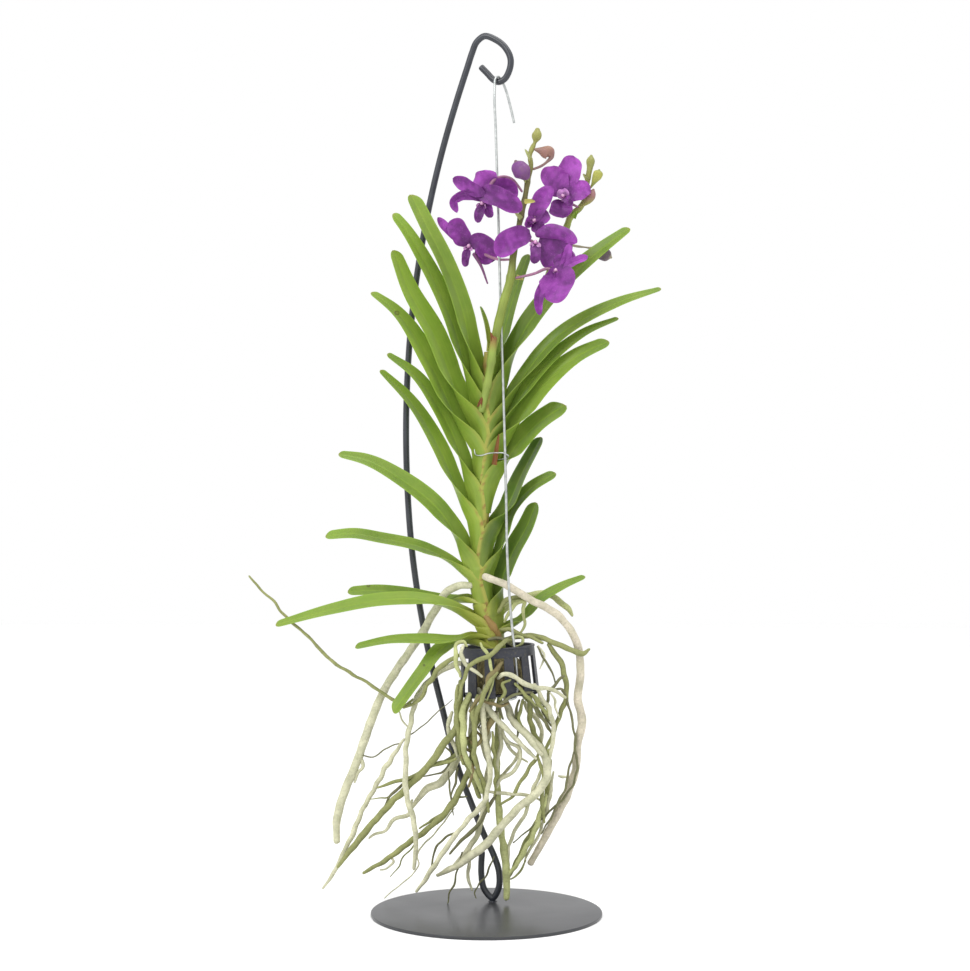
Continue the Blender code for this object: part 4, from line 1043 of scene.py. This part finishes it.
# The buds are closed flowers: ridged drops on short stems, olive while young and purple or
# pink brown when about to open. Each has the colours of its tip and its stem, and a route.
BUD_SIDES = 24
BUDS = {
    "bud_purple": ((116, 56, 132), (112, 84, 96), [
        (39.3, 25.5, 704, 1.4), (37.6, 21.4, 706, 5), (35.5, 20, 709, 8.2), (32.4, 20, 713, 8),
        (29, 20, 718, 5), (28, 20, 720, 1.5)]),
    "bud_pink": ((150, 108, 102), (136, 104, 106), [
        (45.6, 30, 714, 1.2), (53, 30, 717, 1.3), (58.5, 30, 721, 1.4), (62.5, 30, 726, 3),
        (60.6, 30, 729.4, 6.2), (56.4, 30, 730.6, 5.8), (51.5, 30, 732, 3.2), (46.8, 30, 733, 1.2)]),
    "bud_yellow": ((172, 172, 84), (140, 148, 76), [
        (101, 47.4, 698, 0.9), (103.2, 45.8, 701, 1.4), (105.8, 44.6, 706, 3.4), (108, 44, 710, 4.7),
        (109.4, 44, 714, 3.4), (109.8, 44, 715.4, 1)]),
    "bud_far": ((92, 74, 92), (150, 140, 120), [
        (75.1, 49, 644.3, 0.9), (88, 51, 642, 1.3), (102, 52, 640, 1.6), (108, 52, 638, 4.8),
        (115, 52, 634.5, 6.4), (120, 52, 632, 4.4), (122, 52, 631, 1.2)]),
}


def bud_skin(route, tip_tint, foot_tint, seed):
    """A bud along a route: round rings pressed to three soft ridges where it is fat."""
    rows = smooth(route, 8)
    path, radii = with_round_ends(rows[:, :3], rows[:, 3])
    angle = np.linspace(0, 2 * np.pi, BUD_SIDES, endpoint=False)[None]
    fat = np.clip((radii - 2.0) / 3.0, 0, 1)[:, None]
    ridged = 1 + 0.07 * fat * np.cos(3 * angle + seed)
    rings = path[:, None] + (tube_rings(path, radii, BUD_SIDES) - path[:, None]) * ridged[..., None]
    return closed_skin(rings, blended(foot_tint, tip_tint, fat + 0.2 * waves(rings, 7.0, seed)))


for number, (node, (tip_colour, foot_colour, route)) in enumerate(BUDS.items()):
    add_piece(node + "_drop", [bud_skin(route, paint(*tip_colour), paint(*foot_colour), number)],
              stalk_finish, "bud", node)


# The flowers have four to six petals here, round a column and a small three-lobed lip. Two show
# a spur. The petals are soft and purple, mottled and wavy. Each flower hangs on a thin stem.
PETAL_THICKNESS = 0.9
PETAL_RINGS = 34
PETAL_POINTS = 15
PETAL_TINT = paint(132, 46, 146)
PETAL_LIT = paint(186, 92, 200)
# The deep purple is painted shade on shaded petals and at the petals' feet, and also the dark of the
# random mottling.
PETAL_SHADE_AND_MOTTLE = paint(76, 26, 88)
PETAL_EDGE = paint(154, 66, 168)
LIP_TINT = paint(88, 28, 98)
LOBE_TINT = paint(214, 164, 208)
COLUMN_TINT = paint(206, 128, 190)
COLUMN_CAP = paint(232, 184, 216)
# Painted shade for the hollow under the column.
COLUMN_HOLLOW_SHADE = paint(66, 22, 60)
PEDICEL_TINT = paint(164, 118, 140)
SPUR_TINT = paint(122, 78, 112)
# Each flower: its heart, the way it looks, the route of its stem with radii, its petals and
# its lip. A petal is a width, a cup (rim towards the viewer, or away below zero), a tone that
# is painted light above zero and painted shade below it, with the petal's own pale lilac over 1,
# and a midline from its foot to its tip. A lip is a tip and a size.
FLOWERS = {
    "flower_upper_left": ((-3.5, 19, 680), (-0.2, -1, -0.2), [
        (34.2, 27.4, 692, 1.1), (30, 27, 698, 1.3), (25, 26.6, 703.4, 1.4), (17, 26, 706, 1.5),
        (8, 24, 703, 1.6), (1, 21, 692, 1.6)], [
        (19, 2, -0.3, [(2, 23, 686), (13, 25, 696), (22, 24, 693), (25, 22, 683)]),
        (10, 2, -0.4, [(-4, 18, 686), (0, 16, 676), (4.5, 15, 665)]),
        (24, -4, 0.6, [(-1, 24, 689), (-1.5, 24, 700), (-2.5, 20, 711.5)]),
        (9, 3, -0.3, [(-5, 17, 682), (-14, 14, 685.5), (-24, 12, 685), (-30.5, 11, 679.5),
                      (-28, 10, 669)]),
        (19, 4, -0.5, [(-11, 16, 689), (5, 11, 686.5), (20, 9, 679.5), (34, 10, 671.5)]),
        (13, 3, -0.3, [(-1, 13, 687), (-12, 12, 692), (-22, 12, 697), (-32.5, 13, 702)])],
        ((-8.5, 11, 659.5), 9)),
    "flower_upper_right": ((74, 40, 688.5), (0, -1, 0.1), [
        (88.7, 46, 679.8, 1.1), (82, 45, 683, 1.4), (76, 43, 687, 1.5)], [
        (22, 3, -0.6, [(73, 41, 686), (72.5, 37, 677), (73, 36, 667.5)]),
        (25, 4, 0.45, [(73, 42, 690), (68, 40, 700), (64.5, 39, 710), (65, 41, 719)]),
        (19, 2, 0.3, [(78, 41, 690), (90, 39, 694), (101, 40, 698.5)]),
        (23, 2, 0.6, [(75, 43, 692), (79, 40, 710), (85, 41, 728.5)]),
        (10, 1, 1.6, [(69, 38, 694), (74, 36.4, 691), (80, 37, 693)])],
        ((82.3, 33, 679.5), 8)),
    "flower_back_left": ((-17, 54, 642), (-0.1, -1, 0), [
        (23.1, 26.2, 626, 1.1), (11, 40, 628, 1.4), (0, 50, 633, 1.5), (-10, 54, 638, 1.6)], [
        (9, 1, 0.3, [(-20, 56, 644), (-33, 55, 655), (-48, 55, 670.5)]),
        (19, 3, -0.2, [(-18, 55, 643), (-26, 52, 655), (-36, 53, 667)]),
        (17, 2, -0.2, [(-8, 52, 642), (-2, 51, 634), (2.5, 52, 624.5)]),
        (20, 4, -0.25, [(-16, 53, 643), (-8, 50, 646), (0, 50, 638), (5, 52, 626)])],
        ((-21, 48, 621.5), 8)),
    "flower_centre": ((47, 20, 642), (0, -1, 0), [
        (32, 22.4, 646, 1.1), (38, 20.6, 645, 1.4), (44, 20.6, 643, 1.6)], [
        (36, 6, -0.45, [(49, 22, 642), (61, 22, 638), (72, 20, 634), (80, 15, 632)]),
        (14, -4, 0.1, [(46, 19, 649), (60, 14, 652), (74, 13, 649), (87, 15, 641)]),
        (13, 3, -0.1, [(64, 14, 621), (74, 12, 624), (82, 14, 634)]),
        (22, 4, 0.0, [(43, 18, 650), (31, 15, 646), (20, 14, 640), (9.5, 16, 629)])],
        ((46, 13, 620.5), 10)),
    "flower_lower_right": ((66, 9.5, 613), (0, -1, 0.1), [
        (28.1, 19.6, 607.6, 1.1), (46.5, 15, 611.5, 1.4), (58, 11.5, 615.5, 1.5),
        (65, 10, 614, 1.5)], [
        (9, 2, 0.0, [(58, 11, 608), (52.5, 10, 597), (50, 9, 584), (51, 9, 571)]),
        (9, 1, 0.1, [(70, 10, 611), (76, 9, 624), (79.5, 9, 639)]),
        (8, 2, 0.5, [(73, 9, 614), (80, 8, 620), (88, 8, 623.5), (97, 9, 627)]),
        (30, 5, 0.2, [(67, 10, 619), (69, 8, 607), (64.5, 6, 595), (57, 8, 586)])],
        ((66, 5, 606), 3)),
    "flower_behind": ((46, 31, 664), (0, -1, 0), [
        (40.1, 29.1, 682, 1.1), (44, 30, 684, 1.3), (48, 32, 678, 1.5), (47, 31, 668, 1.6)], [
        (17, 3, 0.1, [(43, 31, 663), (52, 29, 680), (62, 32, 698)]),
        (14, 2, -0.1, [(46, 31, 664), (54, 29, 668), (60, 30, 672)]),
        (13, 2, -0.2, [(46, 31, 663), (50, 29, 658), (54, 30, 652)]),
        (8, 2, 0.5, [(46, 29, 667), (42, 27, 664), (39, 28, 657)])],
        ((40.5, 28, 661), 4)),
}


def petal_share(u):
    """Half width of a petal along its length: a narrow claw, a broad blade, a round tip."""
    w = u ** 1.2
    return (1 - np.abs(2 * w - 1) ** 2.4) ** 0.5 + 0.12 * (1 - u) ** 2


def petal_skin(width, cup, light_shade_and_pale_tone, route, look, seed, tint=PETAL_TINT, thickness=PETAL_THICKNESS):
    """A cupped petal along its midline, thick in the middle and thin at the margin.

    Middle line plus across * half width * v, plus the face direction times a cup that grows
    with v squared, a ripple that grows to the margin and a groove along the middle.
    """
    fine, far = measured(route)
    u = np.linspace(0.02, 0.999, PETAL_RINGS)[:, None]
    path = read_at(u[:, 0] * far[-1], far, fine)
    heading = unit_rows(np.gradient(path, axis=0))
    look = unit_rows(np.array(look, float))
    face = unit_rows(look - heading * (heading @ look)[:, None])
    across = np.cross(heading, face)
    v, layer = two_faces(PETAL_POINTS)
    uneven = 1 + 0.09 * np.sin(4.0 * u + 2.1 * seed) * np.sign(v) + 0.05 * np.sin(13 * u + seed)
    half = 0.5 * width * petal_share(u) * uneven
    ripple = 0.11 * width * u * v * np.abs(v) * np.sin(7.5 * u + 1.3 * seed)
    ripple = ripple + 0.03 * width * v ** 4 * np.sin(17 * u + seed + v)
    groove = -0.5 * np.exp(-(v / 0.14) ** 2) * np.sin(np.pi * u)
    deep = cup * v * v * (0.35 + 1.1 * u) * np.minimum(1, 4 * (1 - u)) + ripple + groove
    deep = deep + 0.5 * thickness * layer * (1 - 0.7 * v ** 2) * (1 - 0.5 * u)
    rings = blade_rings(path, across, face, half * v, deep)
    # Painted light and shade: the petal is blended towards the lit purple for a tone above zero and
    # towards the deep purple below zero. Over 1 it turns pale lilac, its own colour.
    base = blended(tint, PETAL_LIT if light_shade_and_pale_tone > 0 else PETAL_SHADE_AND_MOTTLE, abs(light_shade_and_pale_tone))
    base = blended(base, LOBE_TINT, light_shade_and_pale_tone - 1)
    cloud = waves(rings, 15.0, seed) + 0.5 * waves(rings, 6.0, seed + 9)
    shade = blended(base, PETAL_LIT, 0.45 * np.clip(cloud, 0, 1))
    shade = blended(shade, PETAL_SHADE_AND_MOTTLE, 0.6 * np.clip(-cloud, 0, 1))
    shade = blended(shade, PETAL_EDGE, 0.45 * v ** 6 * np.sqrt(u))
    # Painted shade: each petal and lobe under tone 1 darkens towards its foot, where the parts overlap in
    # the heart of the flower.
    if light_shade_and_pale_tone < 1:
        shade = blended(shade, PETAL_SHADE_AND_MOTTLE, 0.75 * (1 - u) ** 2.5 + 0 * v)
    return closed_skin(rings, shade)


def lip_skins(heart, look, tip, size, seed):
    """The column with its cap, a dark blob below it that is painted shade in the hollow under the column,
    two pale side lobes and the front lobe.
    """
    heart, look, reach = np.array(heart, float), unit_rows(np.array(look, float)), tip - heart
    down = unit_rows(reach - look * (reach @ look))
    aside = np.cross(look, down)
    fore = heart + look * 3.0
    skins = [
        petal_skin(size, 2.0, 0, [fore + down * 2, fore + reach * 0.55 + look * 2, tip], look, seed,
                   LIP_TINT, 1.5),
        grown_skin([(*(heart - look), 2.2), (*(heart + look * 3), 2.1),
                    (*(heart + look * 5.5 + down * 0.6), 1.7)], COLUMN_TINT, 14, 6),
        grown_skin([(*(fore + look * 2.6 - down * 0.6), 1.3),
                    (*(fore + look * 4.0 + down * 0.4), 1.2)], COLUMN_CAP, 12, 6),
        # Painted shade: a dark blob under the column stands for the shade in its hollow.
        grown_skin([(*(fore + down * 2.0 - look * 1.5), 1.8), (*(fore + down * 2.4 + look), 1.6)],
                   COLUMN_HOLLOW_SHADE, 12, 6)]
    for turn in (-1, 1):
        foot = fore + down * 1.5 + aside * turn * 1.4
        end = foot + aside * turn * size * 0.36 + down * size * 0.34 + look * 2.6
        skins.append(petal_skin(size * 0.42, 1.2, 0, [foot, (foot + end) / 2 + look, end], look,
                                seed + turn, LOBE_TINT, 1.1))
    return skins


petal_finish = Finish("purple_petal", 0.5)
petal_net = petal_finish.cells(420, "DISTANCE_TO_EDGE")
petal_cloud = petal_finish.noise(260, 5, 0.65)
petal_dark = petal_finish.mix(0.3, petal_finish.tint(), BLACK)
petal_light = petal_finish.mix(0.14, petal_finish.tint(), PETAL_LIT)
petal_finish.colour(petal_finish.layered(
    petal_dark, (petal_cloud, [(0.3, 0.15), (0.7, 1.0)], petal_light),
    (petal_finish.noise(75, 3), [(0.42, 0.0), (0.66, 0.45)], petal_dark),
    (petal_net, [(0.0, 0.35), (0.1, 0.0)], petal_dark),
    (petal_finish.cells(560), [(0.08, 0.24), (0.2, 0.0)], LOBE_TINT)))
petal_finish.roughness(petal_cloud, 0.4, 0.6)
petal_finish.bump(petal_finish.mix(0.5, petal_cloud, petal_finish.noise(1500, 2)), 0.25, 0.6)
petal_finish.put(petal_finish.shader, {
    "Specular IOR Level": 0.3, "Sheen Weight": 0.1, "Sheen Roughness": 0.4,
    "Subsurface Weight": 0.12, "Subsurface Radius": (0.002, 0.001, 0.002),
    "Subsurface Scale": 1.0})

# Two flowers show their nectar spur.
SPURS = {"flower_back_left": [(-12, 50, 634, 2.0), (-6, 50, 624, 1.5), (1, 50, 605.5, 0.8)],
         "flower_centre": [(60, 20, 618, 1.6), (63, 19, 615, 1.8), (65, 18, 612, 1.2)]}
for flower, (node, (heart, look, stalk, petals, (tip, size))) in enumerate(FLOWERS.items()):
    skins = [petal_skin(*shape, look, 5 * flower + number) for number, shape in enumerate(petals)]
    skins += lip_skins(heart, look, np.array(tip, float), size, 7 + flower)
    skins.append(grown_skin(stalk, PEDICEL_TINT, 14, 8, 0.2, 9.0, flower))
    if node in SPURS:
        skins.append(grown_skin(SPURS[node], SPUR_TINT, 12, 8))
    add_piece(node + "_bloom", skins, petal_finish, "petal", node)


# The roots are round and cord-like. A spongy skin, silver cream when dry and olive when damp,
# covers a thin wire-like core. They leave the root knot and the stem, and hang free.
ROOT_TINTS = {"cream": paint(210, 208, 178), "pinkish": paint(216, 206, 186),
              "olive": paint(146, 149, 94), "dark": paint(112, 110, 80),
              "pale_green": paint(182, 187, 128), "brown": paint(128, 112, 74)}
DAMP_GREEN = paint(112, 122, 72)
ROOTS = {
    "root_aerial_left": ("cream", [
        (-14.8, 37, 311, 3), (-25, 40, 311, 3.6), (-38, 43.5, 305, 3.8), (-48, 47, 290, 3.9),
        (-61, 51, 267, 3.9), (-81, 52, 237, 3.9), (-100, 50, 208, 3.9), (-110, 49, 185, 4),
        (-126, 47, 139, 4.1), (-142, 46, 98, 4.1), (-146, 46, 80, 4), (-146, 46, 61, 3.2)]),
    "root_aerial_right": ("pinkish", [
        (-1.5, 25, 320.5, 3.4), (5, 21.6, 318, 3.6), (16, 22, 313.5, 3.6), (42, 26, 298, 3.7),
        (71, 30, 281, 3.7), (87, 34, 257, 3.8), (91, 36, 227, 3.9), (89, 38, 200, 4), (93, 39, 177, 4.2),
        (89, 40, 161, 4), (86, 40, 129, 4), (78, 40, 106, 3.9), (65, 40, 81, 3.8), (43, 40, 41, 3.2)]),
    "root_thin_left": ("olive", [
        (-71.5, 40.6, 200.2, 1.2), (-80, 42, 193.5, 1.6), (-90, 40, 199, 1.6), (-113, 38, 215, 1.6),
        (-149, 37, 237, 1.6), (-176, 37, 264, 1.5), (-194, 37, 280, 1.4), (-208, 37, 297, 1.3),
        (-224, 37, 312, 1.2), (-230, 37, 320, 1)]),
    "root_arch_right": ("pale_green", [
        (9.2, 47.6, 279, 2), (21, 52, 290, 3.3), (39, 54, 300, 3.4), (61, 54, 301, 3.2),
        (79, 53, 288, 2.8), (84, 53, 281, 1.2)]),
    "root_arm_right": ("olive", [
        (16.2, 36.6, 258, 2.2), (37, 33.5, 262.5, 2.7), (52, 32, 261.4, 2.7), (66, 30, 256, 2.6),
        (81, 26.6, 250, 2.6), (95, 26.6, 246, 2.4), (99, 27, 250, 1.4)]),
    "root_long_left": ("cream", [
        (-14, 40, 233, 2), (-26, 40, 235, 2.6), (-40, 39, 230, 2.7), (-55, 39, 219, 2.7),
        (-69, 38, 199, 2.6), (-72, 34, 185, 2.5), (-76, 27, 165, 2.5), (-78, 21, 129, 2.7),
        (-77, 19, 110, 2.7), (-69, 19, 81, 2.6), (-68, 20, 62, 2.5), (-70, 21, 39, 1.6)]),
    "root_branch_left": ("cream", [
        (-79.9, 28.6, 162.4, 1.4), (-93, 36, 142, 2.3), (-106, 40, 119, 2.3), (-123, 42, 87, 2.4),
        (-133, 42, 63, 2.5), (-147, 42, 34, 2.2), (-159, 42, 16, 1.2)]),
    "root_sweep_dark": ("olive", [
        (-11.9, 25, 215, 2), (-19, 21, 200, 3.3), (-30, 20, 173, 3.4), (-42, 22, 158, 3.6),
        (-56, 26, 137, 3.5), (-76, 31, 117, 3.3), (-93, 32, 100, 3.2), (-113, 32, 78, 3.2),
        (-130, 32, 57, 2.8), (-144, 32, 39, 1.6)]),
    "root_sweep_olive": ("olive", [
        (3, 40, 203.4, 2.2), (-3, 39, 192, 3), (-14, 36, 166, 3.2), (-15, 34, 137, 3.2),
        (-23, 34, 118, 3.2), (-42, 32, 89, 3.2), (-60, 32, 73, 2.8), (-82, 32, 57, 2.8),
        (-98, 32, 45, 2.6), (-119, 32, 33, 1.4)]),
    "root_sweep_cream": ("cream", [
        (17.6, 32, 204, 2.4), (25, 26, 183, 3.6), (42, 22, 165, 4), (56, 20, 146, 4.1),
        (59, 20, 132, 4.1), (51, 20, 115, 4), (34, 20, 101, 4), (18, 20, 84, 4), (0, 20, 64, 4),
        (-24, 20, 45, 3.6), (-47, 20, 33, 1.8)]),
    "root_short_olive": ("cream", [
        (-12.4, 54.1, 213, 2), (-18, 55.5, 199, 3.2), (-23, 51, 174, 3.4), (-24, 45, 150, 3.6),
        (-31, 43, 136, 3.8), (-47, 42, 118, 3.9), (-57, 42, 113, 3.6), (-72, 42, 95, 1.8)]),
    "root_plumb_green": ("pale_green", [
        (13, 40, 204.5, 2.6), (11, 38, 171, 2.8), (10, 36, 142, 2.8), (11, 35, 113, 3),
        (13, 33.5, 84, 3.4), (17, 32.5, 55, 3.6), (19.5, 32, 26, 3.6), (19.5, 32, 8.5, 3)]),
    "root_right_lower": ("olive", [
        (38, 27.2, 215, 2.2), (42, 24.6, 199, 2.6), (42.5, 31, 180, 2.7), (53, 42, 153, 2.8),
        (61, 45, 126, 2.8), (58, 45, 103, 2.7), (52, 45, 85, 2.7), (41, 45, 64, 2.6), (30, 45, 43, 2.2),
        (22, 45, 26, 1.2)]),
    "root_front_pale": ("cream", [
        (-1.2, 14.4, 216, 1.8), (-3.4, 10, 200, 2.4), (-1, 11, 164, 2.5), (3, 12, 133, 2.5),
        (-2, 12, 106, 2.5), (-20, 12, 85, 2.5), (-37, 12, 63, 2.5), (-54, 12, 37, 2.4),
        (-67, 12, 19, 1.4)]),
}

root_finish = Finish("spongy_root_skin", 0.72)
root_tint = root_finish.tint()
root_streaks = root_finish.noise(
    1.0, 4, 0.6, 0.6, root_finish.stretched(root_finish.surface(), (60.0, 3.0, 1.0)))
root_cloud = root_finish.noise(110, 4)
root_finish.colour(root_finish.layered(
    root_tint,
    (root_cloud, [(0.35, 0.0), (0.7, 0.7)], root_finish.mix(0.6, root_tint, DAMP_GREEN)),
    (root_finish.noise(420, 4, 0.65), [(0.5, 0.0), (0.68, 0.5)],
     root_finish.mix(0.45, BLACK, root_tint)),
    (root_streaks, [(0.55, 0.0), (0.75, 0.55)], root_finish.mix(0.6, BLACK, root_tint))))
root_finish.roughness(root_cloud, 0.62, 0.82)
root_finish.bump(root_finish.mix(0.5, root_streaks, root_finish.noise(700, 3)), 0.5, 0.7)
for number, (node, (kind, route)) in enumerate(ROOTS.items()):
    skin = grown_skin(route, ROOT_TINTS[kind], 16, 9, 0.45, 17.0, number,
                      wander=0.4 if "aerial" in node else 0.9)
    add_piece(node + "_cord", [skin], root_finish,
              "root_olive" if kind in ("olive", "pale_green") else "root_cream", node)


# The fine roots are side shoots and young roots, mostly thinner than the ones above. They fill
# the mass in and under the basket. Each is a colour, a radius and the points of its route.
FINE_ROOTS = {
    "fine_roots_at_basket": """
        olive 2.6: 60 32 254, 64 33 249, 72 33 237, 77 33 215, 77 33 202, 72 33 188, 64 34 166, 57 34 151;
        pale_green 2: -25 2 226, -28 0 238, -30 3 249, -27 8 257, -22 10 259, -19 9 254;
        cream 2: -22 6 255, -24 2 247, -20 -1 238, -13 -1 233, -4 0 226;
        olive 2.3: -26 8 246, -38 10 239, -48 16 229, -56 22 217, -65 28 201, -80 32 193;
        pale_green 1.6: -6 10 257, -2 2 251, 2 -1 244, 5 -1 232, 5 0 219, 1 4 203;
        olive 2.3: 24 20 259, 16 6 258, 9 0 251, 1 -2 245, -9 -2 241, -18 -1 234, -22 0 221, -27 4 203;
        brown 2.5: 17 8 240, 10 1 234, 4 -2 227, 0 -2 215, -8 2 204, -16 8 192;
        olive 2.4: 10 -1 230, 2 -4 219, -3 -3 207, -9 4 192, -12 12 174;
        cream 2.4: 11 6 224, 16 0 228, 24 -2 227, 33 -2 222, 43 -1 217, 54 6 214, 66 14 211, 76 20 204;
        olive 1.7: 13 2 204, 18 -1 212, 16 -1 219, 22 -1 223;
        dark 1.5: 9 6 198, 17 2 202, 24 0 207, 34 0 211, 44 2 211;
        brown 1.8: -2 4 202, 5 2 200, 14 4 198, 21 8 200;
        olive 1.8: 27 0 219, 34 -1 213, 39 2 206, 47 10 197;
        dark 1.1: 49 20 253, 54 22 244, 58 24 235, 64 26 226, 67 28 216;
        cream 1: 50 20 254, 56 22 246, 54 24 237, 52 26 231;
        dark 1.6: 75 24 224, 68 24 219, 62 24 211, 58 24 201, 54 24 191, 57 26 183, 63 28 176;
        dark 1.1: 59 22 211, 67 22 212, 73 24 211, 77 26 206;
        cream 1.1: 61 22 208, 66 22 202, 67 24 194, 70 26 184;
        olive 2.4: 10 36 284, 15 34 292, 23 33 298, 32 34 300, 39 36 297;
        pale_green 1.9: 18 32 276, 24 30 287, 30 29 294, 36 30 295, 35 30 285, 38 30 274, 32 30 265;
        olive 2.3: 13 32 268, 23 30 268, 33 28 264, 44 27 261, 54 26 256;
        pale_green 1.5: 24 24 257, 28 22 263, 34 22 262, 35 22 256, 28 22 253;
        dark 1.8: 2 28 259, 11 26 261, 20 24 258, 28 24 251""",
    "fine_roots_left": """
        cream 1.9: -124 46 146, -121 46 135, -124 46 128, -129 46 119;
        dark 0.7: -126 45 147, -112 43 144, -97 40 152, -84 37 159, -67 33 171, -47 27 190, -33 24 201;
        cream 0.9: -86 37 190, -80 37 178, -76 37 171;
        olive 1.9: -20 30 160, -35 30 144, -55 30 136, -74 31 125, -95 31 119, -105 31 116;
        dark 1.4: -74 33 124, -92 35 108, -102 36 91;
        olive 0.8: -80 34 120, -94 37 107, -103 37 104, -114 37 104;
        cream 1.9: -72 34 103, -74 36 91, -91 37 82, -96 37 76, -114 37 66;
        olive 1.5: -33 36 97, -45 38 88, -55 38 81, -65 38 75;
        cream 1.2: -82 34 58, -92 33 49, -90 33 42, -95 33 38, -103 33 36;
        olive 0.8: -64 36 68, -73 38 56, -80 38 47, -86 38 38, -93 38 28;
        cream 0.8: -31 40 94, -40 40 83, -50 40 70, -60 40 60, -67 40 48, -65 40 41, -71 40 31, -84 40 20,
            -99 40 7;
        dark 1.2: -18 38 81, -28 37 72, -38 37 69, -45 37 62, -51 37 52, -53 37 40, -55 37 33;
        dark 1.1: -41 34 156, -35 34 150, -35 34 141, -42 34 132, -51 34 128, -62 34 126;
        olive 2: -57 30 136, -47 28 139, -38 24 142, -29 20 145""",
    "fine_roots_right": """
        cream 2.4: 46 16 217, 54 16 202, 64 18 183, 63 20 158, 60 22 139;
        olive 1.9: 26 24 220, 37 30 204, 52 34 186, 64 36 166;
        dark 1.2: 73 30 210, 78 31 200, 82 32 186, 86 33 157, 88 33 140, 84 34 118, 71 34 101, 52 34 84,
            26 34 62;
        olive 1.9: 52 28 152, 45 27 141, 37 27 128, 30 27 117, 23 27 106, 13 27 100;
        cream 1.9: 53 30 133, 47 31 118, 39 32 94, 26 33 70, 21 33 55, 22 33 40;
        cream 1.6: 65 34 130, 62 35 113, 55 36 79, 42 36 54, 37 36 43;
        cream 1.5: 70 33 127, 73 33 126, 78 33 126;
        olive 2: 42 6 209, 49 10 200, 55 16 192, 63 22 180;
        dark 1.7: 41 12 205, 46 14 196, 52 18 186, 59 22 175, 64 26 164;
        pale_green 2.2: 43 14 208, 51 16 201, 59 18 194, 63 20 184, 65 22 167, 62 22 148;
        olive 1.7: 35 20 202, 32 20 188, 32 18 177, 38 16 166, 48 14 156;
        cream 2.4: 37 44 197, 42 46 187, 50 48 179, 54 50 164, 53 52 149;
        cream 3.2: 19 30 195, 23 24 186, 30 18 177, 42 14 164, 53 14 150;
        dark 1.2: 85 32 150, 80 32 134, 78 32 119, 71 32 104, 65 32 92, 58 32 79, 53 32 71;
        pale_green 2.7: 60 24 153, 59 24 136, 53 24 121, 46 26 110, 38 28 98;
        olive 2: 49 20 146, 54 22 131, 54 24 114, 54 26 99, 56 28 83;
        cream 2.2: 63 48 140, 61 48 119, 61 48 101, 57 48 89;
        pale_green 2.6: 58 30 108, 52 30 90, 45 30 71, 35 30 51, 25 30 36, 20 30 28""",
    "fine_roots_low": """
        cream 3.3: 8 48 204, 1 46 184, -3 43 155, 3 42 136, 0 40 117, -3 37 93, -9 35 69, -22 34 50,
            -32 34 39;
        cream 2.9: -8 18 212, 0 14 198, 13 13 181, 24 14 169, 47 17 146;
        cream 2: -15 33 220, -16 33 205, -14 35 186, -16 36 166, -8 37 134, -2 37 108, -3 37 93;
        olive 3.8: -24 30 218, -26 27 201, -28 27 177, -23 28 148, -14 29 128, -7 29 107;
        cream 2.2: 11 30 189, 13 30 172, 14 30 157, 11 30 142, 10 30 128;
        cream 1.9: 9 26 116, 13 26 124, 21 26 129, 30 26 138, 32 26 153, 23 26 160, 16 28 169, 13 30 181;
        cream 1.7: 2 27 112, 13 27 111, 28 27 110, 42 28 108, 52 29 104;
        dark 1.9: 10 33 111, 3 30 99, -5 29 85, -19 29 70, -28 29 62, -35 29 52;
        dark 1: -24 32 53, -28 32 38, -30 32 26, -35 32 14, -38 32 4;
        cream 1.7: -16 30 60, -17 29 46, -17 29 27, -14 29 17;
        dark 0.9: 7 33 49, 3 33 38, -1 34 30, -8 34 21, -12 34 15, -10 34 8;
        brown 3: 9 17 190, 6 15 183, 1 15 175, -1 16 168;
        dark 1.5: 32 24 201, 29 24 190, 30 24 174, 29 24 165;
        dark 1.5: 14 16 202, 13 16 193, 16 16 185;
        cream 1.6: 13 34 179, 16 36 166, 22 38 154, 31 40 145, 40 40 139;
        cream 1.6: 32 42 158, 31 42 148, 24 42 136, 16 42 127, 9 42 122;
        olive 1.7: 6 16 171, 7 18 156, 8 20 139, 9 22 122, 7 24 109;
        dark 1.1: -8 18 176, -4 16 181, 3 14 185, 9 14 190, 13 14 192;
        cream 1.9: -8 20 176, -3 18 169, -2 18 159, 2 20 147, 2 22 130;
        brown 1.9: -16 18 162, -9 14 159, -5 14 166, -9 16 172;
        brown 1.9: -18 20 165, -23 17 163, -21 17 156, -15 18 152;
        olive 2.5: -27 8 216, -29 10 200, -28 14 179, -26 18 159, -22 22 140;
        pale_green 3.3: -16 10 208, -22 10 193, -22 12 172, -21 14 152, -13 18 133, -4 22 113;
        olive 2.6: -8 8 207, -13 8 192, -11 10 172, -12 12 153, -7 18 133, -1 24 112, 2 26 93;
        brown 2: -24 20 148, -16 18 140, -13 18 131, -17 20 119;
        dark 1.3: -10 26 141, -7 26 130, -8 26 120, -3 26 116;
        cream 2.7: -18 40 200, -8 42 188, 0 44 170, 2 46 148, 5 46 125;
        cream 2.2: -33 26 189, -37 28 176, -33 28 160, -28 26 147;
        dark 1: -36 34 130, -36 34 117, -34 34 101, -32 34 89;
        dark 1.4: -28 34 134, -30 34 121, -34 34 107;
        dark 1.1: -19 34 107, -27 34 105, -32 34 99, -36 34 92;
        olive 1.1: 38 33 45, 33 33 35, 27 33 29, 19 33 26""",
}
FINE_TAPER = 0.45


def fine_root(row, seed):
    """The skin of a root from its row of text. Its radius swells at the foot and ends thin."""
    head, points = row.split(":")
    kind, radius = head.split()
    route = np.array([point.split() for point in points.split(",")], float)
    share = np.linspace(0, 1, len(route))
    radii = float(radius) * (1 - FINE_TAPER * share ** 4) * np.minimum(1, 0.7 + 2 * share)
    return grown_skin(np.column_stack([route, radii]), ROOT_TINTS[kind], 12, 7, 0.5, 11.0, seed,
                      wander=1.1)


for number, (name, rows) in enumerate(FINE_ROOTS.items()):
    skins = [fine_root(row, 60 + 40 * number + place) for place, row in enumerate(rows.split(";"))]
    add_piece(name, skins, root_finish, "root_cream")
